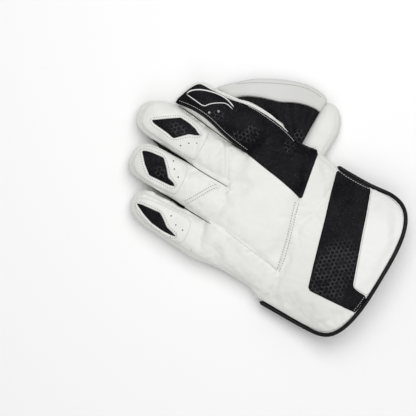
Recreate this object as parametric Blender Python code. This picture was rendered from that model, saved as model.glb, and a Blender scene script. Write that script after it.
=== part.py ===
"""A left-hand wicketkeeping glove, lying on its palm with the back of the hand up.

X runs towards the thumb, Y towards the fingertips and Z up from the surface it lies on. Lengths are in
metres. The working origin is on that surface, at the wrist seam, under the gap between the ring and middle
fingers. The last step shifts the whole glove so that its origin is the middle of its footprint.
"""

import math
from collections import namedtuple
from itertools import pairwise

import bmesh
import bpy
from mathutils import Vector

# Leather, padding and clearances
STALL_WALL = 0.0035
HAND_WALL = 0.0035
CUFF_WALL = 0.005
CUFF_PALM_WALL = 0.003
FACING_THICKNESS = 0.0024
FACING_MARGIN = 0.003
OVERLAY_THICKNESS = 0.0016
CAP_THICKNESS = 0.0026
DIAMOND_THICKNESS = 0.0014
SEAM_GAP = 0.0003
LAY_GAP = 0.0006

# Hand, from the wrist seam to the knuckle line
HAND_LENGTH = 0.098
HAND_HEIGHT = 0.043
HAND_TOP_POWER = 3.0
HAND_BASE_POWER = 4.5
WIDEST_SHARE = 0.35

# Finger stalls, side by side on the knuckle line
LITTLE_WIDTH = 0.0455
LITTLE_LENGTH = 0.099
RING_WIDTH = 0.0485
RING_LENGTH = 0.126
MIDDLE_WIDTH = 0.0470
MIDDLE_LENGTH = 0.146
INDEX_WIDTH = 0.0540
INDEX_LENGTH = 0.111
STALL_SPACING = 0.0006
STALL_POWER = 3.2

# Thumb stall, which leaves the side of the hand
THUMB_LENGTH = 0.072
THUMB_WIDTH = 0.033
THUMB_HEIGHT = 0.027
THUMB_HEEL = 0.0185
THUMB_TIP_REACH = 0.152

# Web between the index finger and the thumb
WEB_REACH = 0.059
WEB_LENGTH = 0.127
WEB_HEIGHT = 0.0125
WEB_DROOP = 0.004
WEB_BORDER_THICKNESS = 0.0045
WEB_INSERT_THICKNESS = 0.0018

# Gauntlet cuff behind the wrist seam
CUFF_LENGTH = 0.1135
CUFF_PALM_LENGTH = 0.097
CUFF_LEFT = 0.0985
CUFF_RIGHT = 0.0880
CUFF_HEIGHT = 0.058
CUFF_POWER = 2.4
CUFF_CORNER_DEPTH = 0.050
CUFF_CORNER_POWER = 3.2
CUFF_PALM_CORNER_DEPTH = 0.034
CUFF_EDGE_MARGIN = 0.003
BINDING_RADIUS = 0.0024
PALM_BINDING_RADIUS = 0.0018

# Finish of each material: colour, roughness
MATERIALS = {
    "white_leather": ((0.82, 0.82, 0.79), 0.48),
    "gloss_leather": ((0.88, 0.88, 0.87), 0.30),
    "black_leather": ((0.018, 0.018, 0.022), 0.55),
    "black_binding": ((0.012, 0.012, 0.014), 0.40),
    "rubber_facing": ((0.020, 0.020, 0.022), 0.70),
}

# Shares of the hand's length, of its reach left and right of the midline at the knuckles, and of its height
HandRow = namedtuple("HandRow", "along left right high")
HAND = [
    HandRow(0.00, 1.064, 0.873, 0.93),
    HandRow(0.06, 1.025, 0.885, 0.93),
    HandRow(0.13, 0.985, 0.896, 0.94),
    HandRow(0.24, 0.954, 0.913, 0.96),
    HandRow(0.33, 0.948, 0.905, 0.98),
    HandRow(0.44, 0.948, 0.890, 1.00),
    HandRow(0.54, 0.948, 0.880, 1.00),
    HandRow(0.68, 0.956, 0.905, 1.00),
    HandRow(0.84, 0.975, 0.960, 0.98),
    HandRow(1.00, 1.000, 1.000, 0.93),
]

# Shares of a stall's length, and of its width at the knuckles measured from its left side there
StallRow = namedtuple("StallRow", "along left right")
LITTLE = [
    StallRow(0.00, 0.000, 1.000),
    StallRow(0.25, 0.020, 1.000),
    StallRow(0.50, 0.060, 1.005),
    StallRow(0.70, 0.105, 1.005),
    StallRow(0.84, 0.160, 0.990),
    StallRow(0.92, 0.240, 0.930),
    StallRow(0.97, 0.340, 0.840),
    StallRow(1.00, 0.460, 0.740),
]
RING = [
    StallRow(0.00, 0.000, 1.000),
    StallRow(0.20, 0.020, 1.005),
    StallRow(0.36, 0.068, 1.015),
    StallRow(0.60, 0.078, 1.045),
    StallRow(0.78, 0.080, 1.045),
    StallRow(0.90, 0.110, 1.000),
    StallRow(0.95, 0.160, 0.940),
    StallRow(0.98, 0.230, 0.860),
    StallRow(1.00, 0.320, 0.760),
]
MIDDLE = [
    StallRow(0.00, 0.000, 1.000),
    StallRow(0.20, 0.020, 1.020),
    StallRow(0.40, 0.070, 1.040),
    StallRow(0.55, 0.130, 1.085),
    StallRow(0.74, 0.165, 1.170),
    StallRow(0.84, 0.175, 1.155),
    StallRow(0.92, 0.200, 1.070),
    StallRow(0.97, 0.290, 0.960),
    StallRow(1.00, 0.480, 0.830),
]
INDEX = [
    StallRow(0.00, 0.000, 1.000),
    StallRow(0.13, 0.012, 1.045),
    StallRow(0.23, 0.032, 1.055),
    StallRow(0.33, 0.052, 1.035),
    StallRow(0.45, 0.068, 0.970),
    StallRow(0.65, 0.098, 0.930),
    StallRow(0.82, 0.145, 0.915),
    StallRow(0.92, 0.175, 0.860),
    StallRow(0.97, 0.205, 0.770),
    StallRow(1.00, 0.270, 0.600),
]
THUMB = [
    StallRow(0.00, 0.030, 1.000),
    StallRow(0.25, 0.000, 1.000),
    StallRow(0.50, 0.000, 1.000),
    StallRow(0.70, 0.050, 0.998),
    StallRow(0.83, 0.160, 0.985),
    StallRow(0.92, 0.330, 0.965),
    StallRow(0.97, 0.480, 0.935),
    StallRow(1.00, 0.620, 0.880),
]

# How a stall's nose closes: shares of its length and of its height at the root
NoseRow = namedtuple("NoseRow", "along high low")
NOSE = [
    NoseRow(0.00, 1.00, 0.00),
    NoseRow(0.30, 0.98, 0.00),
    NoseRow(0.60, 0.94, 0.00),
    NoseRow(0.80, 0.89, 0.00),
    NoseRow(0.90, 0.81, 0.02),
    NoseRow(0.96, 0.68, 0.08),
    NoseRow(0.99, 0.54, 0.16),
    NoseRow(1.00, 0.44, 0.24),
]

# Shares of the cuff's length, of its left and right reach and of its height
CuffRow = namedtuple("CuffRow", "along left right high widest")
CUFF = [
    CuffRow(0.00, 1.000, 0.990, 0.690, 0.270),
    CuffRow(0.15, 1.000, 0.985, 0.745, 0.300),
    CuffRow(0.41, 1.000, 0.980, 0.850, 0.350),
    CuffRow(0.67, 0.990, 1.005, 0.940, 0.400),
    CuffRow(1.00, 0.985, 1.000, 1.000, 0.430),
]

# Shares of the web's length and of its reach, and how far across it the black insert comes
WebRow = namedtuple("WebRow", "along reach insert")
WEB = [
    WebRow(0.000, 0.910, 0.720),
    WebRow(0.055, 0.970, 0.700),
    WebRow(0.134, 1.000, 0.665),
    WebRow(0.213, 0.990, 0.620),
    WebRow(0.331, 0.945, 0.520),
    WebRow(0.449, 0.850, 0.370),
    WebRow(0.567, 0.720, 0.300),
    WebRow(0.660, 0.600, 0.180),
    WebRow(0.760, 0.460, 0.000),
    WebRow(0.880, 0.235, 0.000),
    WebRow(0.970, 0.085, 0.000),
]
INSERT_END = 0.74

# The black index cover's seam with the back panel: shares of the hand's length and half width
SeamRow = namedtuple("SeamRow", "along across")
COVER_SEAM = [
    SeamRow(0.10, 0.350),
    SeamRow(0.34, 0.394),
    SeamRow(0.54, 0.458),
    SeamRow(0.85, 0.444),
    SeamRow(1.00, 0.4436),
]
BACK_PANEL_SIDE = [
    SeamRow(0.02, -0.542),
    SeamRow(0.18, -0.600),
    SeamRow(0.34, -0.594),
    SeamRow(0.59, -0.555),
    SeamRow(0.74, -0.532),
    SeamRow(1.00, -0.503),
]
COVER_FOOT = (0.204, 0.306)
COVER_HAND_EDGE = 0.945
COVER_END = 0.93
COVER_BLEND = 0.22
COVER_RISE = 0.16

# The index cover on its stall: shares of the stall's length, and of its width there
CoverRow = namedtuple("CoverRow", "along inner outer")
COVER = [
    CoverRow(0.00, 0.030, 0.955),
    CoverRow(0.13, 0.050, 0.940),
    CoverRow(0.30, 0.080, 0.930),
    CoverRow(0.50, 0.140, 0.945),
    CoverRow(0.72, 0.160, 0.940),
    CoverRow(0.86, 0.120, 0.900),
    CoverRow(0.93, 0.100, 0.860),
]

# Padded caps: how far along a stall each starts at its left and right side and ends, and its sides across it
Cap = namedtuple("Cap", "foot_left foot_right head left right")
CAPS = {
    "little": Cap(0.26, 0.30, 0.93, 0.12, 0.86),
    "ring": Cap(0.43, 0.47, 0.95, 0.09, 0.91),
    "middle": Cap(0.40, 0.40, 0.94, 0.09, 0.91),
}
CAP_CORNER_RADIUS = 0.008

# Outlines on a stall, in shares of its width and length there
DIAMONDS = {
    "little": [(0.36, 0.915), (0.45, 0.86), (0.55, 0.61), (0.30, 0.455), (0.245, 0.315), (0.165, 0.575), (0.237, 0.78)],
    "ring": [(0.71, 0.933), (0.80, 0.71), (0.40, 0.58), (0.32, 0.50), (0.25, 0.58), (0.22, 0.755), (0.425, 0.85)],
    "middle": [(0.36, 0.863), (0.81, 0.664), (0.83, 0.52), (0.74, 0.459), (0.59, 0.538), (0.26, 0.63), (0.29, 0.733)],
}

# Outlines on the cuff, in shares of its half width and length
CUFF_BAND = [(-0.575, 0.385), (0.95, 0.02), (0.95, 0.425), (-0.245, 0.765), (-0.265, 1.05), (-0.52, 1.02)]
CUFF_SHIELD = [(-0.232, 0.779), (0.95, 0.440), (0.95, 0.90), (0.70, 1.05), (-0.252, 1.05)]

HAND_RING_POINTS = 36
HAND_STATIONS = 10
STALL_RING_POINTS = 16
PANEL_COLUMNS = 18
PANEL_ROWS = 6
CUTTER_BOTTOM = -0.02
CUTTER_TOP = 0.12


def share_at(table, column, along):
    """The value of a table's column at a place between its rows, on a smooth curve through them."""
    xs = [row.along for row in table]
    ys = [getattr(row, column) for row in table]
    along = min(max(along, xs[0]), xs[-1])
    slopes = [(y1 - y0) / (x1 - x0) for (x0, x1), (y0, y1) in zip(pairwise(xs), pairwise(ys))]
    bends = [slopes[0]] + [(a + b) / 2 if a * b > 0 else 0.0 for a, b in pairwise(slopes)] + [slopes[-1]]
    i = max(k for k in range(len(slopes)) if xs[k] <= along)
    step = xs[i + 1] - xs[i]
    t = (along - xs[i]) / step
    return (
        ys[i] * (1 + 2 * t) * (1 - t) ** 2
        + bends[i] * step * t * (1 - t) ** 2
        + ys[i + 1] * t * t * (3 - 2 * t)
        - bends[i + 1] * step * t * t * (1 - t)
    )


def smooth_step(t):
    t = min(max(t, 0.0), 1.0)
    return t * t * (3 - 2 * t)


def arch(across, power):
    """Height share of a rounded arch at a place from -1 to 1 across it."""
    return (1 - min(abs(across), 1.0) ** power) ** (1 / power)


Ring = namedtuple("Ring", "at left right low high")


def widest_height(low, high):
    return low + WIDEST_SHARE * (high - low)


def ring_points(ring, count, top_power, base_power):
    """A closed section as (across, height) pairs: a rounded top and a flatter base."""
    middle, half = (ring.left + ring.right) / 2, (ring.right - ring.left) / 2
    widest = widest_height(ring.low, ring.high)
    points = []
    for k in range(count):
        angle = math.tau * (k + 0.5) / count
        c, s = math.cos(angle), math.sin(angle)
        power = top_power if s > 0 else base_power
        rise = ring.high - widest if s > 0 else widest - ring.low
        across = middle + half * math.copysign(abs(c) ** (2 / power), c)
        points.append((across, widest + rise * math.copysign(abs(s) ** (2 / power), s)))
    return points


def along_y(at, across, height):
    return Vector((across, at, height))


def along_x(at, across, height):
    return Vector((at, across, height))


def inset_rings(rings, wall, closed):
    """The rings of the hollow inside a shell. A closed shell's hollow stops a wall short of its nose."""
    start, length = rings[0].at, rings[-1].at - rings[0].at
    shrink = 1 - wall / length if closed else 1.0
    inner = []
    for ring in rings:
        inset = min(wall, 0.3 * (ring.right - ring.left), 0.3 * (ring.high - ring.low))
        at = start + (ring.at - start) * shrink
        inner.append(Ring(at, ring.left + inset, ring.right - inset, ring.low + inset, ring.high - inset))
    return inner


def bridge(bm, loop, other):
    """Faces between two closed loops of the same number of vertices."""
    for (a, b), (c, d) in zip(pairwise(loop + loop[:1]), pairwise(other + other[:1])):
        bm.faces.new((a, b, d, c))


def skin(bm, rings, place, count, top_power, base_power):
    """A tube's surface through its rings. Returns the loops of vertices."""
    loops = [
        [bm.verts.new(place(ring.at, *point)) for point in ring_points(ring, count, top_power, base_power)]
        for ring in rings
    ]
    for near, far in pairwise(loops):
        bridge(bm, near, far)
    return loops


def material(name):
    made = bpy.data.materials.get(name)
    if made:
        return made
    colour, roughness = MATERIALS[name]
    made = bpy.data.materials.new(name)
    made.use_nodes = True
    shader = made.node_tree.nodes["Principled BSDF"]
    shader.inputs["Base Color"].default_value = (*colour, 1.0)
    shader.inputs["Roughness"].default_value = roughness
    shader.inputs["Metallic"].default_value = 0.0
    made.diffuse_color = (*colour, 1.0)
    return made


def add_object(name, bm, finish, glove):
    """Turns a bmesh into a named object under the glove's empty."""
    bmesh.ops.recalc_face_normals(bm, faces=bm.faces)
    mesh = bpy.data.meshes.new(name)
    bm.to_mesh(mesh)
    bm.free()
    mesh.materials.append(material(finish))
    mesh.shade_smooth()
    mesh.set_sharp_from_angle(angle=math.radians(40))
    made = bpy.data.objects.new(name, mesh)
    made.parent = glove
    bpy.context.scene.collection.objects.link(made)
    return made


def add_shell(name, rings, wall, closed, finish, glove, place=along_y, count=STALL_RING_POINTS, top=STALL_POWER):
    """A hollow padded tube, open at its root and, if closed, with a nose at its far end."""
    bm = bmesh.new()
    outer = skin(bm, rings, place, count, top, HAND_BASE_POWER)
    inner = skin(bm, inset_rings(rings, wall, closed), place, count, top, HAND_BASE_POWER)
    bridge(bm, outer[0], inner[0])
    if closed:
        bm.faces.new(outer[-1])
        bm.faces.new(inner[-1])
    else:
        bridge(bm, outer[-1], inner[-1])
    return add_object(name, bm, finish, glove)


def add_solid(name, rings, glove, place=along_y, count=STALL_RING_POINTS, top=STALL_POWER):
    """A filled tube, used only as a cutter."""
    bm = bmesh.new()
    loops = skin(bm, rings, place, count, top, HAND_BASE_POWER)
    bm.faces.new(loops[0])
    bm.faces.new(loops[-1])
    return as_cutter(add_object(name, bm, "white_leather", glove))


def as_cutter(obj):
    obj.hide_render = True
    obj.display_type = "WIRE"
    return obj


def cut(obj, cutter, operation="DIFFERENCE"):
    modifier = obj.modifiers.new(cutter.name, "BOOLEAN")
    modifier.object = cutter
    modifier.operation = operation
    modifier.solver = "EXACT"


def add_prism(name, outline, glove):
    """An upright cutter with the plan outline given as (x, y) pairs."""
    bm = bmesh.new()
    foot = [bm.verts.new((x, y, CUTTER_BOTTOM)) for x, y in outline]
    head = [bm.verts.new((x, y, CUTTER_TOP)) for x, y in outline]
    bridge(bm, foot, head)
    bm.faces.new(foot)
    bm.faces.new(head)
    return as_cutter(add_object(name, bm, "white_leather", glove))


def add_slab(name, surface, us, vs, lift, thickness, finish, glove):
    """A sheet of leather that follows surface(u, v), lifted off it, closed all round."""
    step = 1e-3
    bm = bmesh.new()
    sheets = []
    for height in (lift, lift + thickness):
        rows = []
        for v in vs:
            row = []
            for u in us:
                along_u = surface(u + step, v) - surface(u - step, v)
                along_v = surface(u, v + step) - surface(u, v - step)
                normal = along_u.cross(along_v).normalized()
                normal = normal if normal.z >= 0 else -normal
                row.append(bm.verts.new(surface(u, v) + normal * height))
            rows.append(row)
        sheets.append(rows)
    close_grids(bm, *sheets)
    return add_object(name, bm, finish, glove)


def close_grids(bm, first, second):
    """Faces on two grids of vertices and round the four sides between them."""
    for grid in (first, second):
        for near, far in pairwise(grid):
            for (a, b), (c, d) in zip(pairwise(near), pairwise(far)):
                bm.faces.new((a, b, d, c))
    bridge(bm, rim_of(first), rim_of(second))


def rim_of(grid):
    """The closed loop of vertices round a grid."""
    right = [row[-1] for row in grid[1:]]
    left = [row[0] for row in grid[1:-1]]
    return grid[0] + right + grid[-1][-2::-1] + left[::-1]


def spread(first, last, count):
    return [first + (last - first) * k / count for k in range(count + 1)]


def eased(first, last, count):
    """Values that crowd towards both ends, where an arch is steep."""
    return [first + (last - first) * (1 - math.cos(math.pi * k / count)) / 2 for k in range(count + 1)]


def rounded_outline(corners, radius, arc_points=3):
    """A closed outline whose corners are turned into curves that start a radius away."""
    outline = []
    count = len(corners)
    for k in range(count):
        corner = Vector(corners[k])
        before = (Vector(corners[k - 1]) - corner).normalized() * radius
        after = (Vector(corners[(k + 1) % count]) - corner).normalized() * radius
        for j in range(arc_points + 1):
            t = j / arc_points
            outline.append(tuple(corner + before * (1 - t) ** 2 + after * t**2))
    return outline


# The hand


def hand_reach():
    """How far the four stalls reach left and right of the midline on the knuckle line."""
    left = 1.5 * STALL_SPACING + RING_WIDTH + LITTLE_WIDTH
    right = 1.5 * STALL_SPACING + MIDDLE_WIDTH + INDEX_WIDTH
    return left, right


def hand_edges(along):
    left, right = hand_reach()
    return -left * share_at(HAND, "left", along), right * share_at(HAND, "right", along)


def hand_base():
    return FACING_THICKNESS + SEAM_GAP


def hand_top(x, along):
    """Height of the back of the hand."""
    left, right = hand_edges(along)
    high = HAND_HEIGHT * share_at(HAND, "high", along)
    widest = widest_height(hand_base(), high)
    across = (x - (left + right) / 2) / ((right - left) / 2)
    return widest + (high - widest) * arch(across, HAND_TOP_POWER)


def hand_rings(swell=0.0):
    rings = []
    for along in spread(0, 1, HAND_STATIONS):
        left, right = hand_edges(along)
        high = HAND_HEIGHT * share_at(HAND, "high", along)
        rings.append(Ring(along * HAND_LENGTH, left - swell, right + swell, hand_base() - swell, high + swell))
    return rings


def hand_point(across, along):
    """A point on the back of the hand, from its half width and length shares."""
    left, right = hand_edges(along)
    x = (left + right) / 2 + across * (right - left) / 2
    return Vector((x, along * HAND_LENGTH, hand_top(x, along)))


# The finger stalls

Stall = namedtuple("Stall", "left width length height table")


def stalls():
    """The four stalls, placed side by side from the midline. Each meets the hand's height where it stands."""
    edge = STALL_SPACING / 2
    placed = {
        "little": (-(edge + RING_WIDTH + STALL_SPACING + LITTLE_WIDTH), LITTLE_WIDTH, LITTLE_LENGTH, LITTLE),
        "ring": (-(edge + RING_WIDTH), RING_WIDTH, RING_LENGTH, RING),
        "middle": (edge, MIDDLE_WIDTH, MIDDLE_LENGTH, MIDDLE),
        "index": (edge + MIDDLE_WIDTH + STALL_SPACING, INDEX_WIDTH, INDEX_LENGTH, INDEX),
    }
    return {
        name: Stall(left, width, length, hand_top(left + width / 2, 1.0) - hand_base(), table)
        for name, (left, width, length, table) in placed.items()
    }


def stall_ring(stall, along, start):
    left = stall.left + stall.width * share_at(stall.table, "left", along)
    right = stall.left + stall.width * share_at(stall.table, "right", along)
    low = hand_base() + stall.height * share_at(NOSE, "low", along)
    high = hand_base() + stall.height * share_at(NOSE, "high", along)
    return Ring(start + along * stall.length, left, right, low, high)


def stall_rings(stall):
    rings = [stall_ring(stall, row.along, HAND_LENGTH) for row in stall.table]
    return [rings[0]._replace(at=rings[0].at + SEAM_GAP)] + rings[1:]


def stall_height(stall, x, along):
    """Height of the back of a stall."""
    ring = stall_ring(stall, along, HAND_LENGTH)
    widest = widest_height(ring.low, ring.high)
    across = min(max((x - ring.left) / (ring.right - ring.left), 0.015), 0.985)
    return widest + (ring.high - widest) * arch(2 * across - 1, STALL_POWER)


def stall_point(stall, across, along):
    """A point on the back of a stall, from 0 to 1 across and along it."""
    ring = stall_ring(stall, along, HAND_LENGTH)
    x = ring.left + across * (ring.right - ring.left)
    return Vector((x, ring.at, stall_height(stall, x, along)))


def stall_outline(stall, shares):
    return [tuple(stall_point(stall, *pair).xy) for pair in shares]


def add_stalls(glove):
    for name, stall in stalls().items():
        add_shell(f"{name}_stall", stall_rings(stall), STALL_WALL, True, "white_leather", glove)


def add_caps(glove):
    """The padded cap on the back of each white stall, with the black diamond let into it."""
    for name, cap_size in CAPS.items():
        stall = stalls()[name]

        def surface(across, along, stall=stall):
            return stall_point(stall, across, along)

        us, vs = eased(0.04, 0.96, 8), spread(cap_size.foot_left - 0.03, cap_size.head + 0.02, 10)
        right_side = [(cap_size.right, v) for v in spread(cap_size.foot_right, cap_size.head, 3)]
        left_side = [(cap_size.left, v) for v in spread(cap_size.head, cap_size.foot_left, 3)]
        cap_outline = rounded_outline(stall_outline(stall, right_side + left_side), CAP_CORNER_RADIUS)
        diamond_outline = stall_outline(stall, DIAMONDS[name])
        cap = add_slab(f"{name}_cap", surface, us, vs, LAY_GAP, CAP_THICKNESS, "white_leather", glove)
        cut(cap, add_prism(f"{name}_cap_cutter", cap_outline, glove), "INTERSECT")
        cut(cap, add_prism(f"{name}_window_cutter", grown(diamond_outline, SEAM_GAP), glove))
        diamond = add_slab(
            f"{name}_diamond", surface, us, vs, LAY_GAP, DIAMOND_THICKNESS, "black_leather", glove
        )
        cut(diamond, add_prism(f"{name}_diamond_cutter", diamond_outline, glove), "INTERSECT")


def grown(outline, margin):
    """A closed outline moved outwards by a margin."""
    points = [Vector(p) for p in outline]
    area = sum(a.x * b.y - b.x * a.y for a, b in pairwise(points + points[:1]))
    side = math.copysign(1.0, area)
    moved = []
    for k, point in enumerate(points):
        before = (point - points[k - 1]).normalized()
        after = (points[(k + 1) % len(points)] - point).normalized()
        out_before = Vector((before.y, -before.x)) * side
        out_after = Vector((after.y, -after.x)) * side
        mitre = (out_before + out_after).normalized()
        reach = margin / max(mitre.dot(out_after), 0.35)
        moved.append(tuple(point + mitre * reach))
    return moved


def add_hand(glove):
    """The hand shell, open at the wrist and at the thumb, its end wall open into each of the four stalls."""
    hand = add_shell(
        "hand_shell", hand_rings(), HAND_WALL, True, "white_leather", glove, count=HAND_RING_POINTS, top=HAND_TOP_POWER
    )
    floor = hand_base() + HAND_WALL
    window = [ring._replace(low=max(ring.low, floor)) for ring in inset_rings(thumb_rings(), STALL_WALL, True)]
    cut(hand, add_solid("thumb_window_cutter", window, glove, place=along_x))
    for name, stall in stalls().items():
        root = inset_rings([stall_ring(stall, 0.0, HAND_LENGTH)], STALL_WALL, False)[0]
        through = [root._replace(at=root.at - 3 * HAND_WALL), root._replace(at=root.at + HAND_WALL)]
        cut(hand, add_solid(f"{name}_opening_cutter", through, glove))


def add_back_panel(glove):
    """The stitched panel on the back of the hand, beside the index cover."""

    def surface(u, v):
        along = v
        start = share_at(BACK_PANEL_SIDE, "across", along)
        end = share_at(COVER_SEAM, "across", along) - 2 * SEAM_GAP / hand_reach()[1]
        foot = 0.02 + (COVER_FOOT[0] - 0.03) * u
        along = foot + (v - 0.02) * (0.985 - foot) / 0.965
        return hand_point(start + u * (end - start), along)

    add_slab(
        "back_panel", surface, spread(0, 1, 9), spread(0.02, 0.985, 8), LAY_GAP, OVERLAY_THICKNESS, "white_leather", glove
    )


def cover_point(across, v):
    """The index cover: v is under 0 on the hand and from 0 to 1 on the stall."""
    index = stalls()["index"]
    blend = smooth_step(v / COVER_BLEND)
    if v <= 0:
        foot = COVER_FOOT[0] + (COVER_FOOT[1] - COVER_FOOT[0]) * across
        along = 1 + v * (1 - foot)
        inner = share_at(COVER_SEAM, "across", along)
        point = hand_point(inner + across * (COVER_HAND_EDGE - inner), along)
        step = stall_height(index, point.x, 0.0) - hand_top(point.x, 1.0)
        point.z += max(step, 0.0) * smooth_step(1 + v * (1 - foot) / COVER_RISE)
        return point
    ring = stall_ring(index, v, HAND_LENGTH)
    inner, outer = (
        ring.left + share_at(COVER, column, v) * (ring.right - ring.left) for column in ("inner", "outer")
    )
    seam = COVER_SEAM[-1].across
    inner = hand_point(seam, 1.0).x * (1 - blend) + inner * blend
    outer = hand_point(COVER_HAND_EDGE, 1.0).x * (1 - blend) + outer * blend
    x = inner + across * (outer - inner)
    step = hand_top(x, 1.0) - stall_height(index, x, v)
    return Vector((x, ring.at, stall_height(index, x, v) + max(step, 0.0) * (1 - blend)))


def add_index_cover(glove):
    vs = spread(-1, 0, 8) + [row.along for row in INDEX[1:-3]] + [0.87, COVER_END]
    add_slab("index_cover", cover_point, eased(0, 1, 8), vs, LAY_GAP, OVERLAY_THICKNESS, "black_leather", glove)


# The thumb


def thumb_rings():
    """The thumb's rings, from inside the hand out to its nose."""
    root = THUMB_TIP_REACH - THUMB_LENGTH
    rings = []
    for row in THUMB:
        heel, far = THUMB_HEEL + row.left * THUMB_WIDTH, THUMB_HEEL + row.right * THUMB_WIDTH
        low, high = (THUMB_HEIGHT * share_at(NOSE, column, row.along) for column in ("low", "high"))
        rings.append(Ring(root + row.along * THUMB_LENGTH, heel, far, low, high))
    return rings


def add_thumb(glove):
    """The thumb stall, trimmed to lie against the side of the hand."""
    thumb = add_shell("thumb_stall", thumb_rings(), STALL_WALL, True, "white_leather", glove, place=along_x)
    rings = hand_rings(SEAM_GAP)
    cut(thumb, add_solid("hand_side_cutter", rings, glove, count=HAND_RING_POINTS, top=HAND_TOP_POWER))
    margin = FACING_MARGIN - SEAM_GAP
    edge = [(hand_edges(along)[1] - margin, along * HAND_LENGTH) for along in spread(0, 1, HAND_STATIONS)]
    cut(thumb, add_prism("palm_side_cutter", [(0, edge[0][1]), *edge, (0, edge[-1][1])], glove))


# The web


def web_inner(y):
    """The X of the index stall's or the hand's side, which the web lies against."""
    if y < HAND_LENGTH:
        edge = hand_edges(y / HAND_LENGTH)[1]
    else:
        edge = stall_ring(stalls()["index"], (y - HAND_LENGTH) / INDEX_LENGTH, HAND_LENGTH).right
    return edge + 2 * SEAM_GAP


def web_point(across, along):
    y = THUMB_HEEL + THUMB_WIDTH + 2 * SEAM_GAP + along * WEB_LENGTH
    inner = web_inner(y)
    root = web_inner(THUMB_HEEL + THUMB_WIDTH + WEB_LENGTH)
    outer = max(root + WEB_REACH * share_at(WEB, "reach", along), inner + SEAM_GAP)
    reach = across * (outer - inner)
    return Vector((inner + reach, y, WEB_HEIGHT - WEB_DROOP * (reach / WEB_REACH) ** 2))


def add_web(glove):
    """The black insert and the padded white border round it."""

    def insert(u, v):
        end = share_at(WEB, "insert", v) - SEAM_GAP / WEB_REACH
        return web_point(u * end, v)

    def border(u, v):
        start = share_at(WEB, "insert", v)
        start = start + SEAM_GAP / WEB_REACH if v < INSERT_END else 0.0
        return web_point(start + u * (1 - start), v)

    insert_rows = spread(0, INSERT_END - 0.02, 11)
    border_rows = spread(0, INSERT_END - 0.012, 11) + spread(INSERT_END + 0.012, 0.96, 5)
    add_slab(
        "web_insert", insert, spread(0, 1, 5), insert_rows, 0, WEB_INSERT_THICKNESS, "black_leather", glove
    )
    lower = (WEB_INSERT_THICKNESS - WEB_BORDER_THICKNESS) / 2
    add_slab(
        "web_border", border, spread(0, 1, 4), border_rows, lower, WEB_BORDER_THICKNESS, "white_leather", glove
    )


# The cuff


def cuff_edges(along):
    return -CUFF_LEFT * share_at(CUFF, "left", along), CUFF_RIGHT * share_at(CUFF, "right", along)


def cuff_point(across, along, inset=0.0):
    """A point on the back of the cuff, or on the surface a wall inside it."""
    left, right = cuff_edges(along)
    high = CUFF_HEIGHT * share_at(CUFF, "high", along)
    widest = CUFF_HEIGHT * share_at(CUFF, "widest", along)
    x = (left + right) / 2 + across * ((right - left) / 2 - inset)
    z = widest + (high - inset - widest) * arch(across, CUFF_POWER)
    return Vector((x, -SEAM_GAP - along * CUFF_LENGTH, z))


def cuff_palm_point(across, along, inset=0.0):
    """The same for the palm side of the cuff, which is flat where it rests."""
    left, right = cuff_edges(along)
    widest = CUFF_HEIGHT * share_at(CUFF, "widest", along) - SEAM_GAP
    x = (left + right) / 2 + across * ((right - left) / 2 - inset)
    z = widest - (widest - inset) * arch(across, HAND_BASE_POWER)
    return Vector((x, -SEAM_GAP - along * CUFF_LENGTH, z))


def cuff_rear(across, length, depth):
    """The share of the cuff's length at its rear edge, which has rounded corners."""
    rounding = 1 - arch(across, CUFF_CORNER_POWER)
    return (length - depth * rounding) / CUFF_LENGTH


def add_cuff_panel(name, point, length, depth, wall, finish, glove):
    bm = bmesh.new()
    columns = [math.sin(math.pi / 2 * t) for t in spread(-1, 1, PANEL_COLUMNS)]
    grids = [
        [
            [bm.verts.new(point(across, share * cuff_rear(across, length, depth), inset)) for across in columns]
            for share in spread(0, 1, PANEL_ROWS)
        ]
        for inset in (0.0, wall)
    ]
    close_grids(bm, *grids)
    return add_object(name, bm, finish, glove)


def rear_path(point, length, depth, radius, drop, reach):
    """The line of a binding round the rear edge of a cuff panel, reach being the share of the width it covers."""
    steps = [reach * math.sin(math.pi / 2 * t) for t in spread(-1, 1, 24)]
    rim = [point(across, cuff_rear(across, length, depth)) for across in steps]
    path = []
    for k, across in enumerate(steps):
        before, after = rim[max(k - 1, 0)], rim[min(k + 1, len(rim) - 1)]
        tangent = (after - before).xy.normalized()
        outwards = Vector((tangent.y, -tangent.x, 0.0)) if abs(across) < 1 else Vector((across, 0, 0))
        lowered = Vector((0, 0, drop * (1 - abs(across) ** 6)))
        path.append(rim[k] + outwards * (radius + SEAM_GAP) + lowered)
    return path


def side_path(point, side, length, depth, radius):
    """The line of a binding down one side of a cuff panel, from the wrist to the rounded corner."""
    corner = cuff_rear(side, length, depth)
    outwards = Vector((side * (radius + SEAM_GAP), 0, 0))
    return [point(side, share * corner) + outwards for share in spread(0, 1, 6)[:-1]]


def add_binding(name, path, radius, glove):
    curve = bpy.data.curves.new(name, "CURVE")
    curve.dimensions = "3D"
    curve.bevel_depth = radius
    curve.bevel_resolution = 2
    curve.use_fill_caps = True
    spline = curve.splines.new("POLY")
    spline.points.add(len(path) - 1)
    for target, point in zip(spline.points, path):
        target.co = (*point, 1.0)
    curve.materials.append(material("black_binding"))
    made = bpy.data.objects.new(name, curve)
    made.parent = glove
    bpy.context.scene.collection.objects.link(made)


def cuff_outline(shares):
    return [tuple(cuff_point(*pair).xy) for pair in shares]


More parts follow.
